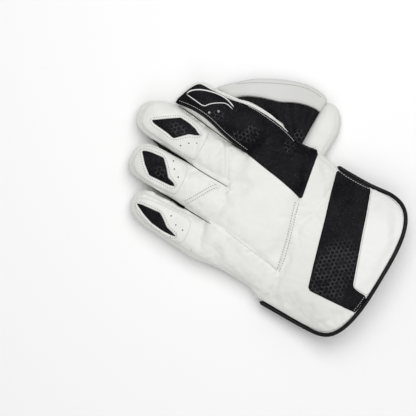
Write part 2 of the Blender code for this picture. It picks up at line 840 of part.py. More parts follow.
def add_cuff(glove):
    back = (cuff_point, CUFF_LENGTH, CUFF_CORNER_DEPTH)
    palm = (cuff_palm_point, CUFF_PALM_LENGTH, CUFF_PALM_CORNER_DEPTH)
    add_cuff_panel("cuff_back", *back, CUFF_WALL, "white_leather", glove)
    add_cuff_panel("cuff_palm", *palm, CUFF_PALM_WALL, "black_leather", glove)
    rim = side_path(cuff_point, -1.0, *back[1:], BINDING_RADIUS)
    rim += rear_path(*back, BINDING_RADIUS, -CUFF_WALL / 2, 1.0)
    rim += side_path(cuff_point, 1.0, *back[1:], BINDING_RADIUS)[::-1]
    add_binding("cuff_binding", rim, BINDING_RADIUS, glove)
    palm_rim = rear_path(*palm, PALM_BINDING_RADIUS, PALM_BINDING_RADIUS, 0.96)
    add_binding("cuff_palm_binding", palm_rim, PALM_BINDING_RADIUS, glove)

    def back_surface(across, v):
        return cuff_point(across, v * (cuff_rear(across, *back[1:]) - CUFF_EDGE_MARGIN / CUFF_LENGTH))

    across, along = eased(-0.97, 0.97, 18), spread(0.005, 1.0, 12)
    for name, outline, finish in (
        ("cuff_band", CUFF_BAND, "black_leather"),
        ("cuff_shield", CUFF_SHIELD, "gloss_leather"),
    ):
        sheet = add_slab(name, back_surface, across, along, LAY_GAP, OVERLAY_THICKNESS, finish, glove)
        cut(sheet, add_prism(f"{name}_cutter", cuff_outline(outline), glove), "INTERSECT")


# The palm facing


def add_palm_facing(glove):
    """The rubber-faced sheet that the glove lies on, cut to the palm and the four fingers."""
    margin = FACING_MARGIN
    sides = spread(0, 1, HAND_STATIONS)
    outline = [(hand_edges(along)[0] + margin, along * HAND_LENGTH) for along in sides[1:-1]]
    for name in ("little", "ring", "middle", "index"):
        rings = [stall_ring(stalls()[name], row.along, HAND_LENGTH) for row in stalls()[name].table]
        rings = rings[1:-2]
        outline += [(ring.left + margin, ring.at) for ring in rings]
        outline += [(ring.right - margin, ring.at) for ring in reversed(rings)]
        if name != "index":
            outline.append((rings[0].right - margin, HAND_LENGTH + margin))
            outline.append((rings[0].right + margin, HAND_LENGTH + margin))
    outline += [(hand_edges(along)[1] - margin, along * HAND_LENGTH) for along in reversed(sides[1:])]
    bm = bmesh.new()
    face = bm.faces.new([bm.verts.new((x, y, 0.0)) for x, y in outline])
    raised = bmesh.ops.extrude_face_region(bm, geom=[face])
    top = [item for item in raised["geom"] if isinstance(item, bmesh.types.BMVert)]
    bmesh.ops.translate(bm, verts=top, vec=(0, 0, FACING_THICKNESS))
    add_object("palm_facing", bm, "rubber_facing", glove)


def centre_on_footprint(glove):
    """Moves the glove so that the middle of its footprint is the origin and it rests at height zero."""
    bpy.context.view_layer.update()
    graph = bpy.context.evaluated_depsgraph_get()
    points = [
        obj.matrix_world @ vertex.co
        for obj in glove.children
        if not obj.hide_render
        for vertex in obj.evaluated_get(graph).to_mesh().vertices
    ]
    low = Vector([min(point[k] for point in points) for k in range(3)])
    high = Vector([max(point[k] for point in points) for k in range(3)])
    glove.location = (-(low.x + high.x) / 2, -(low.y + high.y) / 2, -low.z)


def main():
    for obj in list(bpy.data.objects):
        bpy.data.objects.remove(obj)
    glove = bpy.data.objects.new("glove", None)
    bpy.context.scene.collection.objects.link(glove)
    add_palm_facing(glove)
    add_hand(glove)
    add_stalls(glove)
    add_caps(glove)
    add_thumb(glove)
    add_web(glove)
    add_back_panel(glove)
    add_index_cover(glove)
    add_cuff(glove)
    centre_on_footprint(glove)


main()
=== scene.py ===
"""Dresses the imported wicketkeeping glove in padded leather, stitching and binding, under a studio camera.

Shapes are worked out in millimetres in the glove's plan: X towards the thumb from the midline, Y forward from
the cuff's rear edge and Z up from the floor. They are turned into the frame's metres when a piece is made.
"""

import math
import random
from collections import namedtuple
from functools import reduce
from itertools import pairwise

import bmesh
import bpy
import numpy as np
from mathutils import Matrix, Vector, geometry, noise
from mathutils.bvhtree import BVHTree
from mathutils.kdtree import KDTree


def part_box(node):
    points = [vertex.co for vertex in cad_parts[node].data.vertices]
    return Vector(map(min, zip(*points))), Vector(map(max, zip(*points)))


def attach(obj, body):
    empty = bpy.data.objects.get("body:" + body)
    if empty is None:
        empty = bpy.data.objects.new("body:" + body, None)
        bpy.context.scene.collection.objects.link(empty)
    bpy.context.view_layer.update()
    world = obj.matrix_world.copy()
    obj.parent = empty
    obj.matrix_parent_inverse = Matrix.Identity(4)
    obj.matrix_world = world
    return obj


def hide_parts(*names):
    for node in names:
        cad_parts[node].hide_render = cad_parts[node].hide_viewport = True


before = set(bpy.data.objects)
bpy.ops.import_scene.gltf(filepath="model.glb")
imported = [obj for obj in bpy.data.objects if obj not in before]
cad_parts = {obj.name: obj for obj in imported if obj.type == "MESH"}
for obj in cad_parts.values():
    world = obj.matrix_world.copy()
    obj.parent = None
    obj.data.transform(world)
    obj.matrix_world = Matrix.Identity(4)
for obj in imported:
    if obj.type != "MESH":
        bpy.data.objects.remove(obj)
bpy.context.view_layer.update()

MM = 0.001
BINDING_LEFT = 104.6  # how far left of the midline the cuff's binding reaches
WRIST_SEAM = 106.7  # where the cuff meets the hand
PLAN_ORIGIN = np.array(
    [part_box("cuff_binding")[0].x / MM + BINDING_LEFT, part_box("hand_shell")[0].y / MM - WRIST_SEAM, 0.0]
)

# Camera: the photo's frame is this many millimetres wide, centred here, its upright turned this far
FRAME_WIDTH = 507.5
FRAME_CENTRE = (-34.4, 218.2)
FRAME_TURN = math.radians(-60)
FRAME_LEVEL = 25.0  # the height at which the frame is that wide
CAMERA_HEIGHT = 4000.0
SENSOR_WIDTH = 36.0

# The studio, in metres and watts, from the frame's centre
FLOOR_REACH = 6.0
Light = namedtuple("Light", "name place width power")
LIGHTS = [Light("softbox", (0.55, 0.10, 1.40), 1.0, 13.2), Light("fill", (-0.8, -0.5, 1.4), 1.3, 5.4)]
WORLD_STRENGTH = 0.44

# The padding's skin and the hollow for the hand inside it
SKIN_VOXEL = 1.7
HOLLOW_VOXEL = 3.0
WALL = 3.5
HOLLOW_FROM = 92.0
HOLLOW_TO = 198.0

# How the padding swells: the copy's voxel, the furthest that a point moves, the cloth's growth and its pressure
SWELL_VOXEL = 3.6
SWELL_MOST = 2.4
SWELL_GROWTH = 0.02
SWELL_PRESSURE = 4.0
SWELL_FRAMES = 20

# Looking for a surface: from well above or below, and towards the middle of the hand where an edge is missed
ABOVE = 120.0
BELOW = -20.0
MIDDLE_LEVEL = 25.0
HAND_MIDDLE = (-8.0, 150.0)

# The hand: distance forward, left and right edges, and height of its back
HandRow = namedtuple("HandRow", "along left right high")
HAND = [
    HandRow(102.0, -96.8, 85.2, 39.7),
    HandRow(109.0, -99.4, 87.8, 40.0),
    HandRow(114.0, -97.6, 89.2, 40.2),
    HandRow(121.0, -94.2, 90.2, 40.6),
    HandRow(130.0, -91.8, 91.6, 41.4),
    HandRow(140.0, -91.4, 92.0, 42.2),
    HandRow(150.0, -91.2, 90.6, 42.8),
    HandRow(162.0, -91.2, 89.2, 43.0),
    HandRow(175.0, -92.0, 91.8, 43.0),
    HandRow(190.0, -94.0, 97.4, 42.6),
    HandRow(200.0, -95.6, 99.8, 41.4),
    HandRow(208.0, -95.0, 100.0, 37.5),
    HandRow(214.0, -91.0, 96.0, 28.0),
]
HAND_LOW = 2.7
WIDEST_SHARE = 0.35
TOP_POWER = 3.0
STALL_POWER = 3.2
BASE_POWER = 4.5

# Stalls: shares of length, and of the width at the knuckles measured from the left side there
StallRow = namedtuple("StallRow", "along left right")
LITTLE = [
    StallRow(-0.18, 0.070, 0.985),
    StallRow(0.00, 0.000, 1.000),
    StallRow(0.25, 0.020, 1.000),
    StallRow(0.50, 0.060, 1.005),
    StallRow(0.70, 0.105, 1.005),
    StallRow(0.84, 0.160, 0.985),
    StallRow(0.92, 0.240, 0.925),
    StallRow(0.97, 0.340, 0.830),
    StallRow(1.00, 0.460, 0.700),
]
RING = [
    StallRow(-0.15, 0.015, 0.985),
    StallRow(0.00, 0.000, 1.000),
    StallRow(0.20, 0.020, 1.005),
    StallRow(0.36, 0.068, 1.015),
    StallRow(0.60, 0.078, 1.045),
    StallRow(0.78, 0.080, 1.045),
    StallRow(0.90, 0.110, 1.000),
    StallRow(0.95, 0.160, 0.940),
    StallRow(0.98, 0.230, 0.860),
    StallRow(1.00, 0.340, 0.740),
]
MIDDLE = [
    StallRow(-0.13, 0.015, 0.985),
    StallRow(0.00, 0.000, 1.000),
    StallRow(0.20, 0.020, 1.020),
    StallRow(0.40, 0.070, 1.040),
    StallRow(0.55, 0.100, 1.085),
    StallRow(0.74, 0.110, 1.160),
    StallRow(0.84, 0.125, 1.135),
    StallRow(0.90, 0.163, 1.055),
    StallRow(0.94, 0.222, 0.980),
    StallRow(0.972, 0.325, 0.895),
    StallRow(0.990, 0.460, 0.800),
]
INDEX = [
    StallRow(-0.15, 0.015, 0.985),
    StallRow(0.00, 0.000, 1.000),
    StallRow(0.13, 0.012, 1.045),
    StallRow(0.23, 0.032, 1.055),
    StallRow(0.33, 0.052, 1.035),
    StallRow(0.45, 0.068, 0.970),
    StallRow(0.65, 0.098, 0.930),
    StallRow(0.82, 0.145, 0.920),
    StallRow(0.88, 0.165, 0.890),
    StallRow(0.925, 0.180, 0.800),
    StallRow(0.965, 0.195, 0.640),
    StallRow(1.00, 0.230, 0.440),
]
Stall = namedtuple("Stall", "left width length height table")
KNUCKLES = 204.7
STALLS = {
    "little": Stall(-95.9, 45.5, 99.0, 32.6, LITTLE),
    "ring": Stall(-49.8, 48.5, 126.0, 36.9, RING),
    "middle": Stall(-0.7, 47.0, 146.0, 36.9, MIDDLE),
    "index": Stall(46.9, 54.0, 111.0, 33.4, INDEX),
}
NoseRow = namedtuple("NoseRow", "along high low")
NOSE = [
    NoseRow(-0.20, 1.00, 0.00),
    NoseRow(0.30, 0.98, 0.00),
    NoseRow(0.60, 0.94, 0.00),
    NoseRow(0.80, 0.89, 0.00),
    NoseRow(0.90, 0.81, 0.02),
    NoseRow(0.96, 0.68, 0.08),
    NoseRow(0.99, 0.54, 0.16),
    NoseRow(1.00, 0.44, 0.24),
]

# Thumb: distance to the right, rear and front edges, and heights
THUMB = [
    StallRow(74.0, 127.0, 157.0),
    StallRow(90.0, 126.4, 158.0),
    StallRow(105.0, 125.4, 158.4),
    StallRow(118.0, 124.8, 158.6),
    StallRow(127.0, 125.8, 158.6),
    StallRow(136.0, 128.8, 158.4),
    StallRow(143.2, 133.2, 157.8),
    StallRow(148.2, 138.4, 156.4),
    StallRow(151.8, 144.6, 153.8),
]
ThumbRise = namedtuple("ThumbRise", "along high low")
THUMB_RISE = [
    ThumbRise(74.0, 26.0, 0.6),
    ThumbRise(100.0, 26.6, 0.2),
    ThumbRise(125.0, 25.6, 0.2),
    ThumbRise(138.0, 23.6, 0.6),
    ThumbRise(147.0, 19.6, 2.6),
    ThumbRise(150.8, 15.0, 5.0),
    ThumbRise(151.8, 12.0, 7.0),
]
THUMB_NOSE = 135.0  # where its rounded end starts
THUMB_SEAM = [(88, 131.5), (118, 130.8), (132, 133.0), (142, 139.0)]

# Slits between the fingers: distance forward, place across and half width
SlitRow = namedtuple("SlitRow", "along across half")
SLITS = [
    [
        SlitRow(206, -49.7, 0.25),
        SlitRow(216, -49.4, 0.45),
        SlitRow(236, -48.9, 0.6),
        SlitRow(262, -47.9, 1.1),
        SlitRow(285, -48.3, 2.0),
        SlitRow(310, -49.4, 3.0),
    ],
    [
        SlitRow(211, -0.2, 0.25),
        SlitRow(236, -0.3, 0.4),
        SlitRow(252, 0.2, 0.45),
        SlitRow(262, 1.2, 0.6),
        SlitRow(272, 1.9, 1.3),
        SlitRow(290, 1.9, 1.7),
        SlitRow(306, 1.7, 2.2),
        SlitRow(320, 1.0, 2.4),
        SlitRow(340, 0.0, 3.0),
    ],
    [
        SlitRow(208, 46.8, 0.3),
        SlitRow(216, 47.1, 0.4),
        SlitRow(240, 48.6, 0.5),
        SlitRow(265, 51.2, 0.6),
        SlitRow(290, 54.4, 0.8),
        SlitRow(318, 56.6, 1.2),
    ],
]

# A filler between the ring and the middle finger, behind their slit
GUSSET = [(196, -1.0, 36.0), (215, -0.4, 36.5), (240, 0.2, 35.5), (262, 1.2, 33.0)]

# The rubber facing: where it starts and ends on each finger, and its wedge in the gap beyond it. The wedge is partly
# painted shade: dark rubber laid where the deep shade in the gap falls, and partly the real webbing.
FacingStall = namedtuple("FacingStall", "name left_from right_from gap_tip")
FACING_STALLS = [
    FacingStall("little", 0.03, 0.40, [(-50.5, 248), (-48.2, 262), (-47.3, 276), (-45.8, 292)]),
    FacingStall("ring", 0.71, 0.79, [(1.6, 310), (3.0, 315), (4.6, 322)]),
    FacingStall("middle", 0.82, 0.30, []),
    FacingStall("index", 0.40, 0.03, []),
]

# The cuff: shares of its length, of its left and right reach and of its height
CuffRow = namedtuple("CuffRow", "along left right high widest")
CUFF = [
    CuffRow(-0.08, 1.000, 0.990, 0.690, 0.270),
    CuffRow(0.00, 1.000, 0.990, 0.690, 0.270),
    CuffRow(0.15, 1.000, 0.985, 0.745, 0.300),
    CuffRow(0.41, 1.000, 0.990, 0.850, 0.350),
    CuffRow(0.67, 0.990, 1.020, 0.940, 0.400),
    CuffRow(1.00, 0.985, 1.018, 1.000, 0.430),
]
CUFF_LENGTH = 113.5
CUFF_LEFT = 99.5
CUFF_RIGHT = 87.0
CUFF_HEIGHT = 58.0
CUFF_POWER = 2.4
CUFF_WALL = 5.0
CUFF_CORNER_DEPTH = 50.0
CUFF_CORNER_POWER = 3.2
CUFF_START = -0.07
CUFF_SECTIONS = 34
CUFF_SECTION_POINTS = 70
REAR_PULL = 3.6  # how far the rear edge is drawn in at its middle
REAR_SLANT = 1.8  # how much less it is drawn in towards the right
CUFF_PALM_LENGTH = 97.0
CUFF_PALM_CORNER_DEPTH = 34.0
CUFF_PALM_WALL = 3.0
BINDING_RADIUS = 2.4
PALM_BINDING_RADIUS = 1.8

# Seams on the body, in plan
BACK_SEAMS = [
    [(-46.6, 204), (-46.2, 188), (-47.6, 165), (-53.6, 127), (-58, 107)],
    [(-59, 106.8), (-42, 109), (-25, 113), (-7, 118), (10.5, 123.8), (30, 128)],
    [(-44, 246), (-29, 237), (-14.3, 229), (-4.7, 221.5), (-0.5, 212)],
    [(0, 212), (7.5, 216), (20.5, 223), (35, 231.4), (46, 240)],
    [(-0.2, 210), (-0.3, 236), (1.2, 262)],
    [(-56.4, 301), (-55.2, 281), (-53.8, 258), (-51.8, 241), (-49.6, 221)],
    [(-91, 116), (-89.5, 150), (-91, 180), (-92.4, 208), (-91.6, 240), (-88, 270), (-82, 290)],
    [(3.5, 262), (18, 265.5), (30, 271), (46.4, 270.5)],
    [(88.6, 134), (86.4, 121), (84.2, 109)],
]

# A seam presses in by a depth over a width, and the leather rises beside it
Seam = namedtuple("Seam", "depth width rise rise_at rise_width")
BACK_SEAM = Seam(1.25, 1.5, 0.28, 5.0, 3.6)
TIP_SEAM = Seam(0.75, 1.1, 0.35, 2.4, 1.3)
TIP_SEAM_INSET = 3.4

# The web's middle surface
WEB_INNER = 97.0
WEB_REACH = 59.0
WEB_HIGH = 12.5
WEB_SAG = 4.0
WEB_CORNER = (84.0, 150.0)

# Outlines in plan
INDEX_STRIP = [
    (30.6, 124.6), (34.9, 140), (39, 160), (43.1, 190), (45.6, 205), (47.5, 218), (49.8, 234), (53.3, 252), (57, 265),
    (59.4, 276), (60.4, 290), (59.6, 303), (57, 317.4), (61.5, 316.8), (75, 312.4), (85, 308), (91.5, 303), (92.2, 297),
    (92, 288), (93, 275), (93.4, 261), (97, 245), (98.8, 232), (99, 214), (97.6, 199.4), (96, 189), (93.6, 177),
    (90, 167), (88.4, 158), (90, 147), (92.4, 135.6), (80, 133.6), (60, 130.2),
]  # fmt: skip
BACK_PANEL = [
    (31, 126.5), (20, 124), (-10, 118), (-40, 110), (-58, 106), (-56, 120), (-54, 140), (-51, 165), (-49, 180),
    (-47.5, 199), (-30, 200.5), (0, 201.5), (30, 201.5), (44.6, 200), (43, 190), (39, 160), (35, 140),
]  # fmt: skip
PANEL_END = 199
PANEL_FADE = 26
CUFF_BAND = [
    (-59.9, 64), (-30, 73.2), (0, 81.7), (25, 88.7), (50, 96.2), (85.2, 105.6), (86, 82), (86, 58.6), (60, 49.6),
    (30, 39.8), (0, 29.2), (-29, 19), (-31.2, 12), (-31.2, -2.4), (-42, -1.6), (-55.2, 0.4), (-55.6, 5), (-57.6, 30),
]  # fmt: skip
CUFF_SHIELD = [
    (-29.6, 17.4), (0, 27.8), (30, 38.4), (60, 48.2), (86, 57.2), (86.3, 45), (86, 32), (84.2, 20), (79.4, 11),
    (70, 4), (56, -0.4), (30, -2.9), (0, -3), (-30, -2.3), (-30, 10),
]  # fmt: skip
DIAMONDS = {
    "middle": [
        (24, 331), (26.5, 327), (33, 318), (44, 302), (43.4, 290), (41.4, 280), (38.6, 275), (37.6, 270.6),
        (34.6, 275.6), (32, 283), (25, 290), (18, 297), (20, 306), (21.2, 320), (22, 327),
    ],
    "ring": [
        (-14.5, 322.5), (-12.4, 319), (-10.5, 313), (-8.5, 295.5), (-17, 287), (-27, 278.6), (-28.6, 271),
        (-31.6, 266), (-33.6, 272), (-34, 280), (-35.5, 300), (-26, 312), (-18, 319),
    ],
    "little": [
        (-73, 296.5), (-71.2, 290), (-68.7, 266), (-73, 259), (-80, 250), (-82, 241), (-84, 234), (-85.6, 242),
        (-86, 251), (-84.5, 268), (-80, 282), (-76, 290.5),
    ],
}  # fmt: skip
CAPS = {
    "middle": [
        (7, 262), (14, 261), (30, 261), (44, 262.5), (46.4, 266), (48.5, 280), (51, 300), (51.5, 320), (48.5, 333),
        (42, 341), (33, 344), (22, 343.5), (14, 339), (11, 330), (9.6, 315), (8, 285),
    ],
    "ring": [
        (-41, 263), (-38, 260), (-25, 259.6), (-10, 261), (-3, 264), (-1.6, 272), (-1, 295), (-3, 312),
        (-8, 322.5), (-18, 326.5), (-30, 325.5), (-38, 320), (-41.6, 308), (-42.4, 285),
    ],
    "little": [
        (-89, 226), (-84, 223), (-70, 224), (-60, 226.5), (-57.5, 231), (-58, 260), (-60, 282), (-64, 294),
        (-70, 299), (-77, 297), (-84, 288), (-88, 268), (-90, 245),
    ],
}  # fmt: skip
WEB_INSERT = [
    (89.6, 159), (89.2, 163), (91.4, 172), (95.5, 183), (99.2, 194), (101.8, 205), (103, 219), (102.6, 236),
    (99.2, 252), (99.2, 256), (105.2, 249), (110.3, 240), (115.5, 227.3), (119.3, 213.9), (122, 205.2), (127.8, 195),
    (132.7, 183.5), (135.4, 172.6), (135.9, 164), (134.8, 157.4), (91.4, 157.0),
]  # fmt: skip
WEB_BORDER_OUTER = [
    (152.4, 156.8), (156.6, 164), (158, 173.9), (157.7, 185.2), (154.6, 200.5), (148.6, 215.7), (141.5, 230.8),
    (131.4, 248), (121.3, 260.1), (111.2, 271.2), (101.1, 280.8), (98, 283),
]  # fmt: skip
WEB_BORDER_INNER = [
    (96.6, 262), (99.8, 256.6), (105.8, 249.6), (110.9, 240.4), (116.1, 227.7), (119.9, 214.3), (122.6, 205.6),
    (128.4, 195.4), (133.3, 183.8), (136, 172.7), (136.5, 164), (135.4, 156.8),
]  # fmt: skip

# Trim on the black strip, and how it bridges the hand's side
SIDE_START = 84.0
SIDE_SLOPE = 1.1
SIDE_REACHES = (0.0, 1.5, 3.0, 4.5, 6.0, 7.5)
STRIP_LEFT = [
    (58.4, 314), (60.1, 303), (61.1, 290), (60.1, 276), (57.7, 264.6), (54.1, 251.6), (50.6, 233.6), (47.9, 212),
]  # fmt: skip
STRIP_RIGHT = [(97.4, 237.5), (98, 227.7), (97.2, 213.8), (96, 200.7), (94.4, 189.6), (91.8, 177.9), (88.6, 168)]
STRIP_ROLL = [(92.4, 170.5), (89.6, 163), (88.8, 157.8), (90.2, 147.7), (91.6, 137.6)]
WHITE_WELT = [(94.4, 287), (95.8, 271), (97.6, 252), (100.8, 236), (101.8, 221), (100.6, 206), (98, 194), (94.6, 180)]
NAIL_TOP = [(73, 310.6), (79, 308), (85, 300), (89.3, 289), (91.9, 276.6), (91.9, 265), (89.4, 257), (87.2, 252)]
NAIL_BASE = [(72.6, 310.4), (71.3, 297.9), (69.9, 284.1), (76.2, 279.9), (82.5, 271.8), (87.2, 262.3), (84.4, 252.1)]
EYELETS = [(66.9, 274.9), (73.8, 265.9)]
AIR_HOLES = [
    (27.2, 269.4), (22.1, 277.7), (14.6, 285.1), (-5.9, 283.3), (-13.8, 277.2), (-20, 268.3), (-65.1, 252.2),
    (-71.9, 241.9), (-73.1, 231.5),
]  # fmt: skip

STRIP_FOLDS = [
    [(49, 207), (60, 196), (67, 184), (68, 173), (73, 160)],
    [(66, 192), (78, 181), (88, 168)],
    [(52, 222), (66, 214), (80, 200)],
    [(60, 262), (72, 250), (90, 246)],
]

# Honeycomb that shows on black leather, in ellipses: x, y, half width and half length
HONEYCOMB_CELL = 5.4
BAND_PATCHES = [(-22, 49, 44, 28), (-44, 42, 15, 22), (-45, 55, 22, 12)]
STRIP_PATCHES = [(69, 218, 13, 11), (80, 170, 9, 9), (69, 266, 9, 12), (60, 230, 7, 9)]
INLAY_PATCHES = [(31, 298, 9, 15), (-25, 290, 7, 10)]
WEB_PATCHES = [(99, 166, 8, 8)]

# Rows of stitching
BACK_PANEL_ROWS = [
    [(25.5, 130.2), (10.2, 125.9), (-6.5, 120.6), (-23.5, 115.8), (-40.9, 111.7), (-56, 108.6)],
    [(26.1, 125.7), (10.7, 121.5), (-7.6, 115.7), (-26.2, 110.4), (-43.6, 106.4), (-58.9, 104.6)],
]
KNUCKLE_SEAM = [(-43, 245.6), (-29.4, 237.2), (-14.3, 229), (-5.5, 222.5)]
WEB_ROW = [
    (113.8, 264.7), (122.8, 252.3), (129.8, 240.7), (138.4, 224.8), (145.5, 209.4), (149.8, 198.9), (152.6, 188.2),
    (153.6, 176), (152.4, 165.9),
]  # fmt: skip
CUFF_ROW = [(84.6, 103), (83.2, 92), (82.8, 80), (83.2, 68), (84, 60)]
BAND_ROW = [(-32.8, 0.7), (-44, 1.4), (-54, 3.2)]
STITCH_LIFT = 0.1
THREAD_ENDS = [((-87.9, 240.3), 0.5), ((-88.9, 210.4), 1.2), ((-51.6, 297), 1.9)]

# How finely piping and the rims of panels are made
PATH_STEP = 1.5
RIM_STEP = 1.5
RIM_DEPTHS = (0.4, 1.1, 2.0)


# Curves and distances in plan


def value_at(table, column, along):
    """A table's column at a place between its rows, on a smooth curve through them."""
    xs = [row.along for row in table]
    ys = [getattr(row, column) for row in table]
    along = min(max(along, xs[0]), xs[-1])
    slopes = [(y1 - y0) / (x1 - x0) for (x0, x1), (y0, y1) in zip(pairwise(xs), pairwise(ys))]
    bends = [slopes[0]] + [(a + b) / 2 if a * b > 0 else 0.0 for a, b in pairwise(slopes)] + [slopes[-1]]
    i = max(k for k in range(len(slopes)) if xs[k] <= along)
    step = xs[i + 1] - xs[i]
    t = (along - xs[i]) / step
    return (
        ys[i] * (1 + 2 * t) * (1 - t) ** 2
        + bends[i] * step * t * (1 - t) ** 2
        + ys[i + 1] * t * t * (3 - 2 * t)
        - bends[i + 1] * step * t * t * (1 - t)
    )


def spread(first, last, count):
    return [first + (last - first) * k / count for k in range(count + 1)]


def smooth_step(t):
    t = np.clip(t, 0.0, 1.0)
    return t * t * (3 - 2 * t)


def arch(across, power):
    """Height share of a rounded arch at a place from -1 to 1 across it."""
    return (1 - min(abs(across), 1.0) ** power) ** (1 / power)


def rounded(points, closed=True, passes=2, reach=3.0):
    """A smoother line through the same corners, by cutting each corner. The reach is the longest cut."""
    line = [np.array(p, float) for p in points]
    for _ in range(passes):
        ends = [] if closed else [line[0]]
        pairs = pairwise(line + line[:1]) if closed else pairwise(line)
        for a, b in pairs:
            share = min(0.24, reach / max(np.linalg.norm(b - a), 1e-6))
            ends += [a + (b - a) * share, b + (a - b) * share]
        line = ends if closed else ends + [line[-1]]
        reach /= 3
    return line


def curve(points, passes=2):
    """A smoother open line through the same corners."""
    return rounded(points, closed=False, passes=passes)


def evenly(points, spacing, closed=False):
    """Points at an even spacing along a line."""
    line = np.array(list(points) + ([points[0]] if closed else []), float)
    steps = np.linalg.norm(np.diff(line, axis=0), axis=1)
    travelled = np.concatenate([[0.0], np.cumsum(steps)])
    count = max(int(round(travelled[-1] / spacing)), 1)
    stops = np.linspace(0, travelled[-1], count + 1)[: -1 if closed else None]
    return np.stack([np.interp(stops, travelled, line[:, k]) for k in range(line.shape[1])], axis=1)


def distance_to(points, line, closed=False):
    """Distance in plan from each point to a line."""
    line = np.array(list(line) + ([line[0]] if closed else []), float)[:, :2]
    nearest = np.full(len(points), 1e9)
    for a, b in pairwise(line):
        span = b - a
        t = np.clip(((points[:, :2] - a) @ span) / max(span @ span, 1e-9), 0, 1)
        gap = points[:, :2] - (a + t[:, None] * span)
        nearest = np.minimum(nearest, np.hypot(gap[:, 0], gap[:, 1]))
    return nearest


def inside(points, outline):
    """Whether each point is inside a closed outline in plan."""
    outline = np.array(outline, float)
    hits = np.zeros(len(points), bool)
    for a, b in pairwise(np.vstack([outline, outline[:1]])):
        crosses = (a[1] > points[:, 1]) != (b[1] > points[:, 1])
        with np.errstate(divide="ignore", invalid="ignore"):
            at = a[0] + (points[:, 1] - a[1]) * (b[0] - a[0]) / (b[1] - a[1])
        hits ^= crosses & (points[:, 0] < at)
    return hits


# Meshes


def made_mesh(name, points, faces):
    """A mesh in the frame's metres from points in the glove's plan."""
    mesh = bpy.data.meshes.new(name)
    mesh.from_pydata(((np.asarray(points) + PLAN_ORIGIN) * MM).tolist(), [], faces)
    mesh.update()
    return mesh


def shown(name, data):
    """A mesh, light or camera as an object in the scene."""
    obj = bpy.data.objects.new(name, data)
    bpy.context.scene.collection.objects.link(obj)
    return obj


def dress(obj, finish, slot, *nodes):
    """Gives a piece its material and its place in the frame."""
    obj.data.materials.clear()
    obj.data.materials.append(finish)
    obj.data.shade_smooth()
    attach(obj, "root")
    if nodes:
        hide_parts(*nodes)
    return obj


def applied(obj):
    """Bakes an object's modifiers into its mesh."""
    graph = bpy.context.evaluated_depsgraph_get()
    mesh = bpy.data.meshes.new_from_object(obj.evaluated_get(graph))
    obj.modifiers.clear()
    obj.data = mesh
    return obj


def mesh_points(mesh):
    """A mesh's vertices in the glove's plan, and their normals."""
    places = np.empty(len(mesh.vertices) * 3)
    normals = np.empty(len(mesh.vertices) * 3)
    mesh.vertices.foreach_get("co", places)
    mesh.vertices.foreach_get("normal", normals)
    return places.reshape(-1, 3) / MM - PLAN_ORIGIN, normals.reshape(-1, 3)


def set_points(mesh, points):
    mesh.vertices.foreach_set("co", ((points + PLAN_ORIGIN) * MM).ravel())
    mesh.update()


Ring = namedtuple("Ring", "at left right low high")


def tube_faces(rings, around, closed=False):
    """Faces of a tube through rings of points. Its ends are filled unless it is closed on itself."""
    size = rings * around
    faces = []
    for r in range(rings if closed else rings - 1):
        for k in range(around):
            a, b = r * around + k, r * around + (k + 1) % around
            faces.append((a, b, (b + around) % size, (a + around) % size))
    if not closed:
        faces += [tuple(range(around)), tuple(range(size - around, size))]
    return faces


def ring_section(ring, count, top_power=TOP_POWER):
    """A closed section as (across, height) pairs: a rounded top and a flatter base."""
    middle, half = (ring.left + ring.right) / 2, (ring.right - ring.left) / 2
    widest = ring.low + WIDEST_SHARE * (ring.high - ring.low)
    section = []
    for k in range(count):
        angle = math.tau * (k + 0.5) / count
        c, s = math.cos(angle), math.sin(angle)
        power = top_power if s > 0 else BASE_POWER
        rise = ring.high - widest if s > 0 else widest - ring.low
        across = middle + half * math.copysign(abs(c) ** (2 / power), c)
        section.append((across, widest + rise * math.copysign(abs(s) ** (2 / power), s)))
    return section


def loft(rings, count, sideways=False, top_power=TOP_POWER):
    """A closed tube through rings, along Y or, sideways, along X. Returns its points and faces."""
    points = []
    for ring in rings:
        for across, height in ring_section(ring, count, top_power):
            points.append((ring.at, across, height) if sideways else (across, ring.at, height))
    return points, tube_faces(len(rings), count)


def slab(grid, under):
    """A closed sheet between two grids of points."""
    rows, columns = len(grid), len(grid[0])
    points = [p for row in grid for p in row] + [p for row in under for p in row]
    size = rows * columns
    faces = []
    for r in range(rows - 1):
        for c in range(columns - 1):
            a = r * columns + c
            quad = (a, a + 1, a + columns + 1, a + columns)
            faces += [quad, tuple(i + size for i in reversed(quad))]
    rim = list(range(columns)) + [r * columns + columns - 1 for r in range(1, rows)]
    rim += list(range(size - 2, size - columns - 1, -1)) + [r * columns for r in range(rows - 2, 0, -1)]
    for a, b in pairwise(rim + rim[:1]):
        faces.append((b, a, a + size, b + size))
    return points, faces


def joined(parts):
    """One list of points and one of faces from several."""
    points, faces = [], []
    for part_points, part_faces in parts:
        start = len(points)
        points += [tuple(p) for p in part_points]
        faces += [tuple(i + start for i in face) for face in part_faces]
    return points, faces


def solid(name, parts):
    """A closed piece from lists of points and faces, with its faces turned outwards."""
    mesh = made_mesh(name, *joined(parts))
    bm = bmesh.new()
    bm.from_mesh(mesh)
    bmesh.ops.recalc_face_normals(bm, faces=bm.faces)
    bm.to_mesh(mesh)
    bm.free()
    return shown(name, mesh)


def merge_skins(obj, voxel):
    merge = obj.modifiers.new("merge", "REMESH")
    merge.mode = "VOXEL"
    merge.voxel_size = voxel * MM


def moulded(name, parts, voxel, softening):
    """Solids merged into one skin and softened, as padding under leather is."""
    obj = solid(name, parts)
    merge_skins(obj, voxel)
    soften = obj.modifiers.new("soften", "SMOOTH")
    soften.factor = 0.5
    soften.iterations = softening
    return applied(obj)


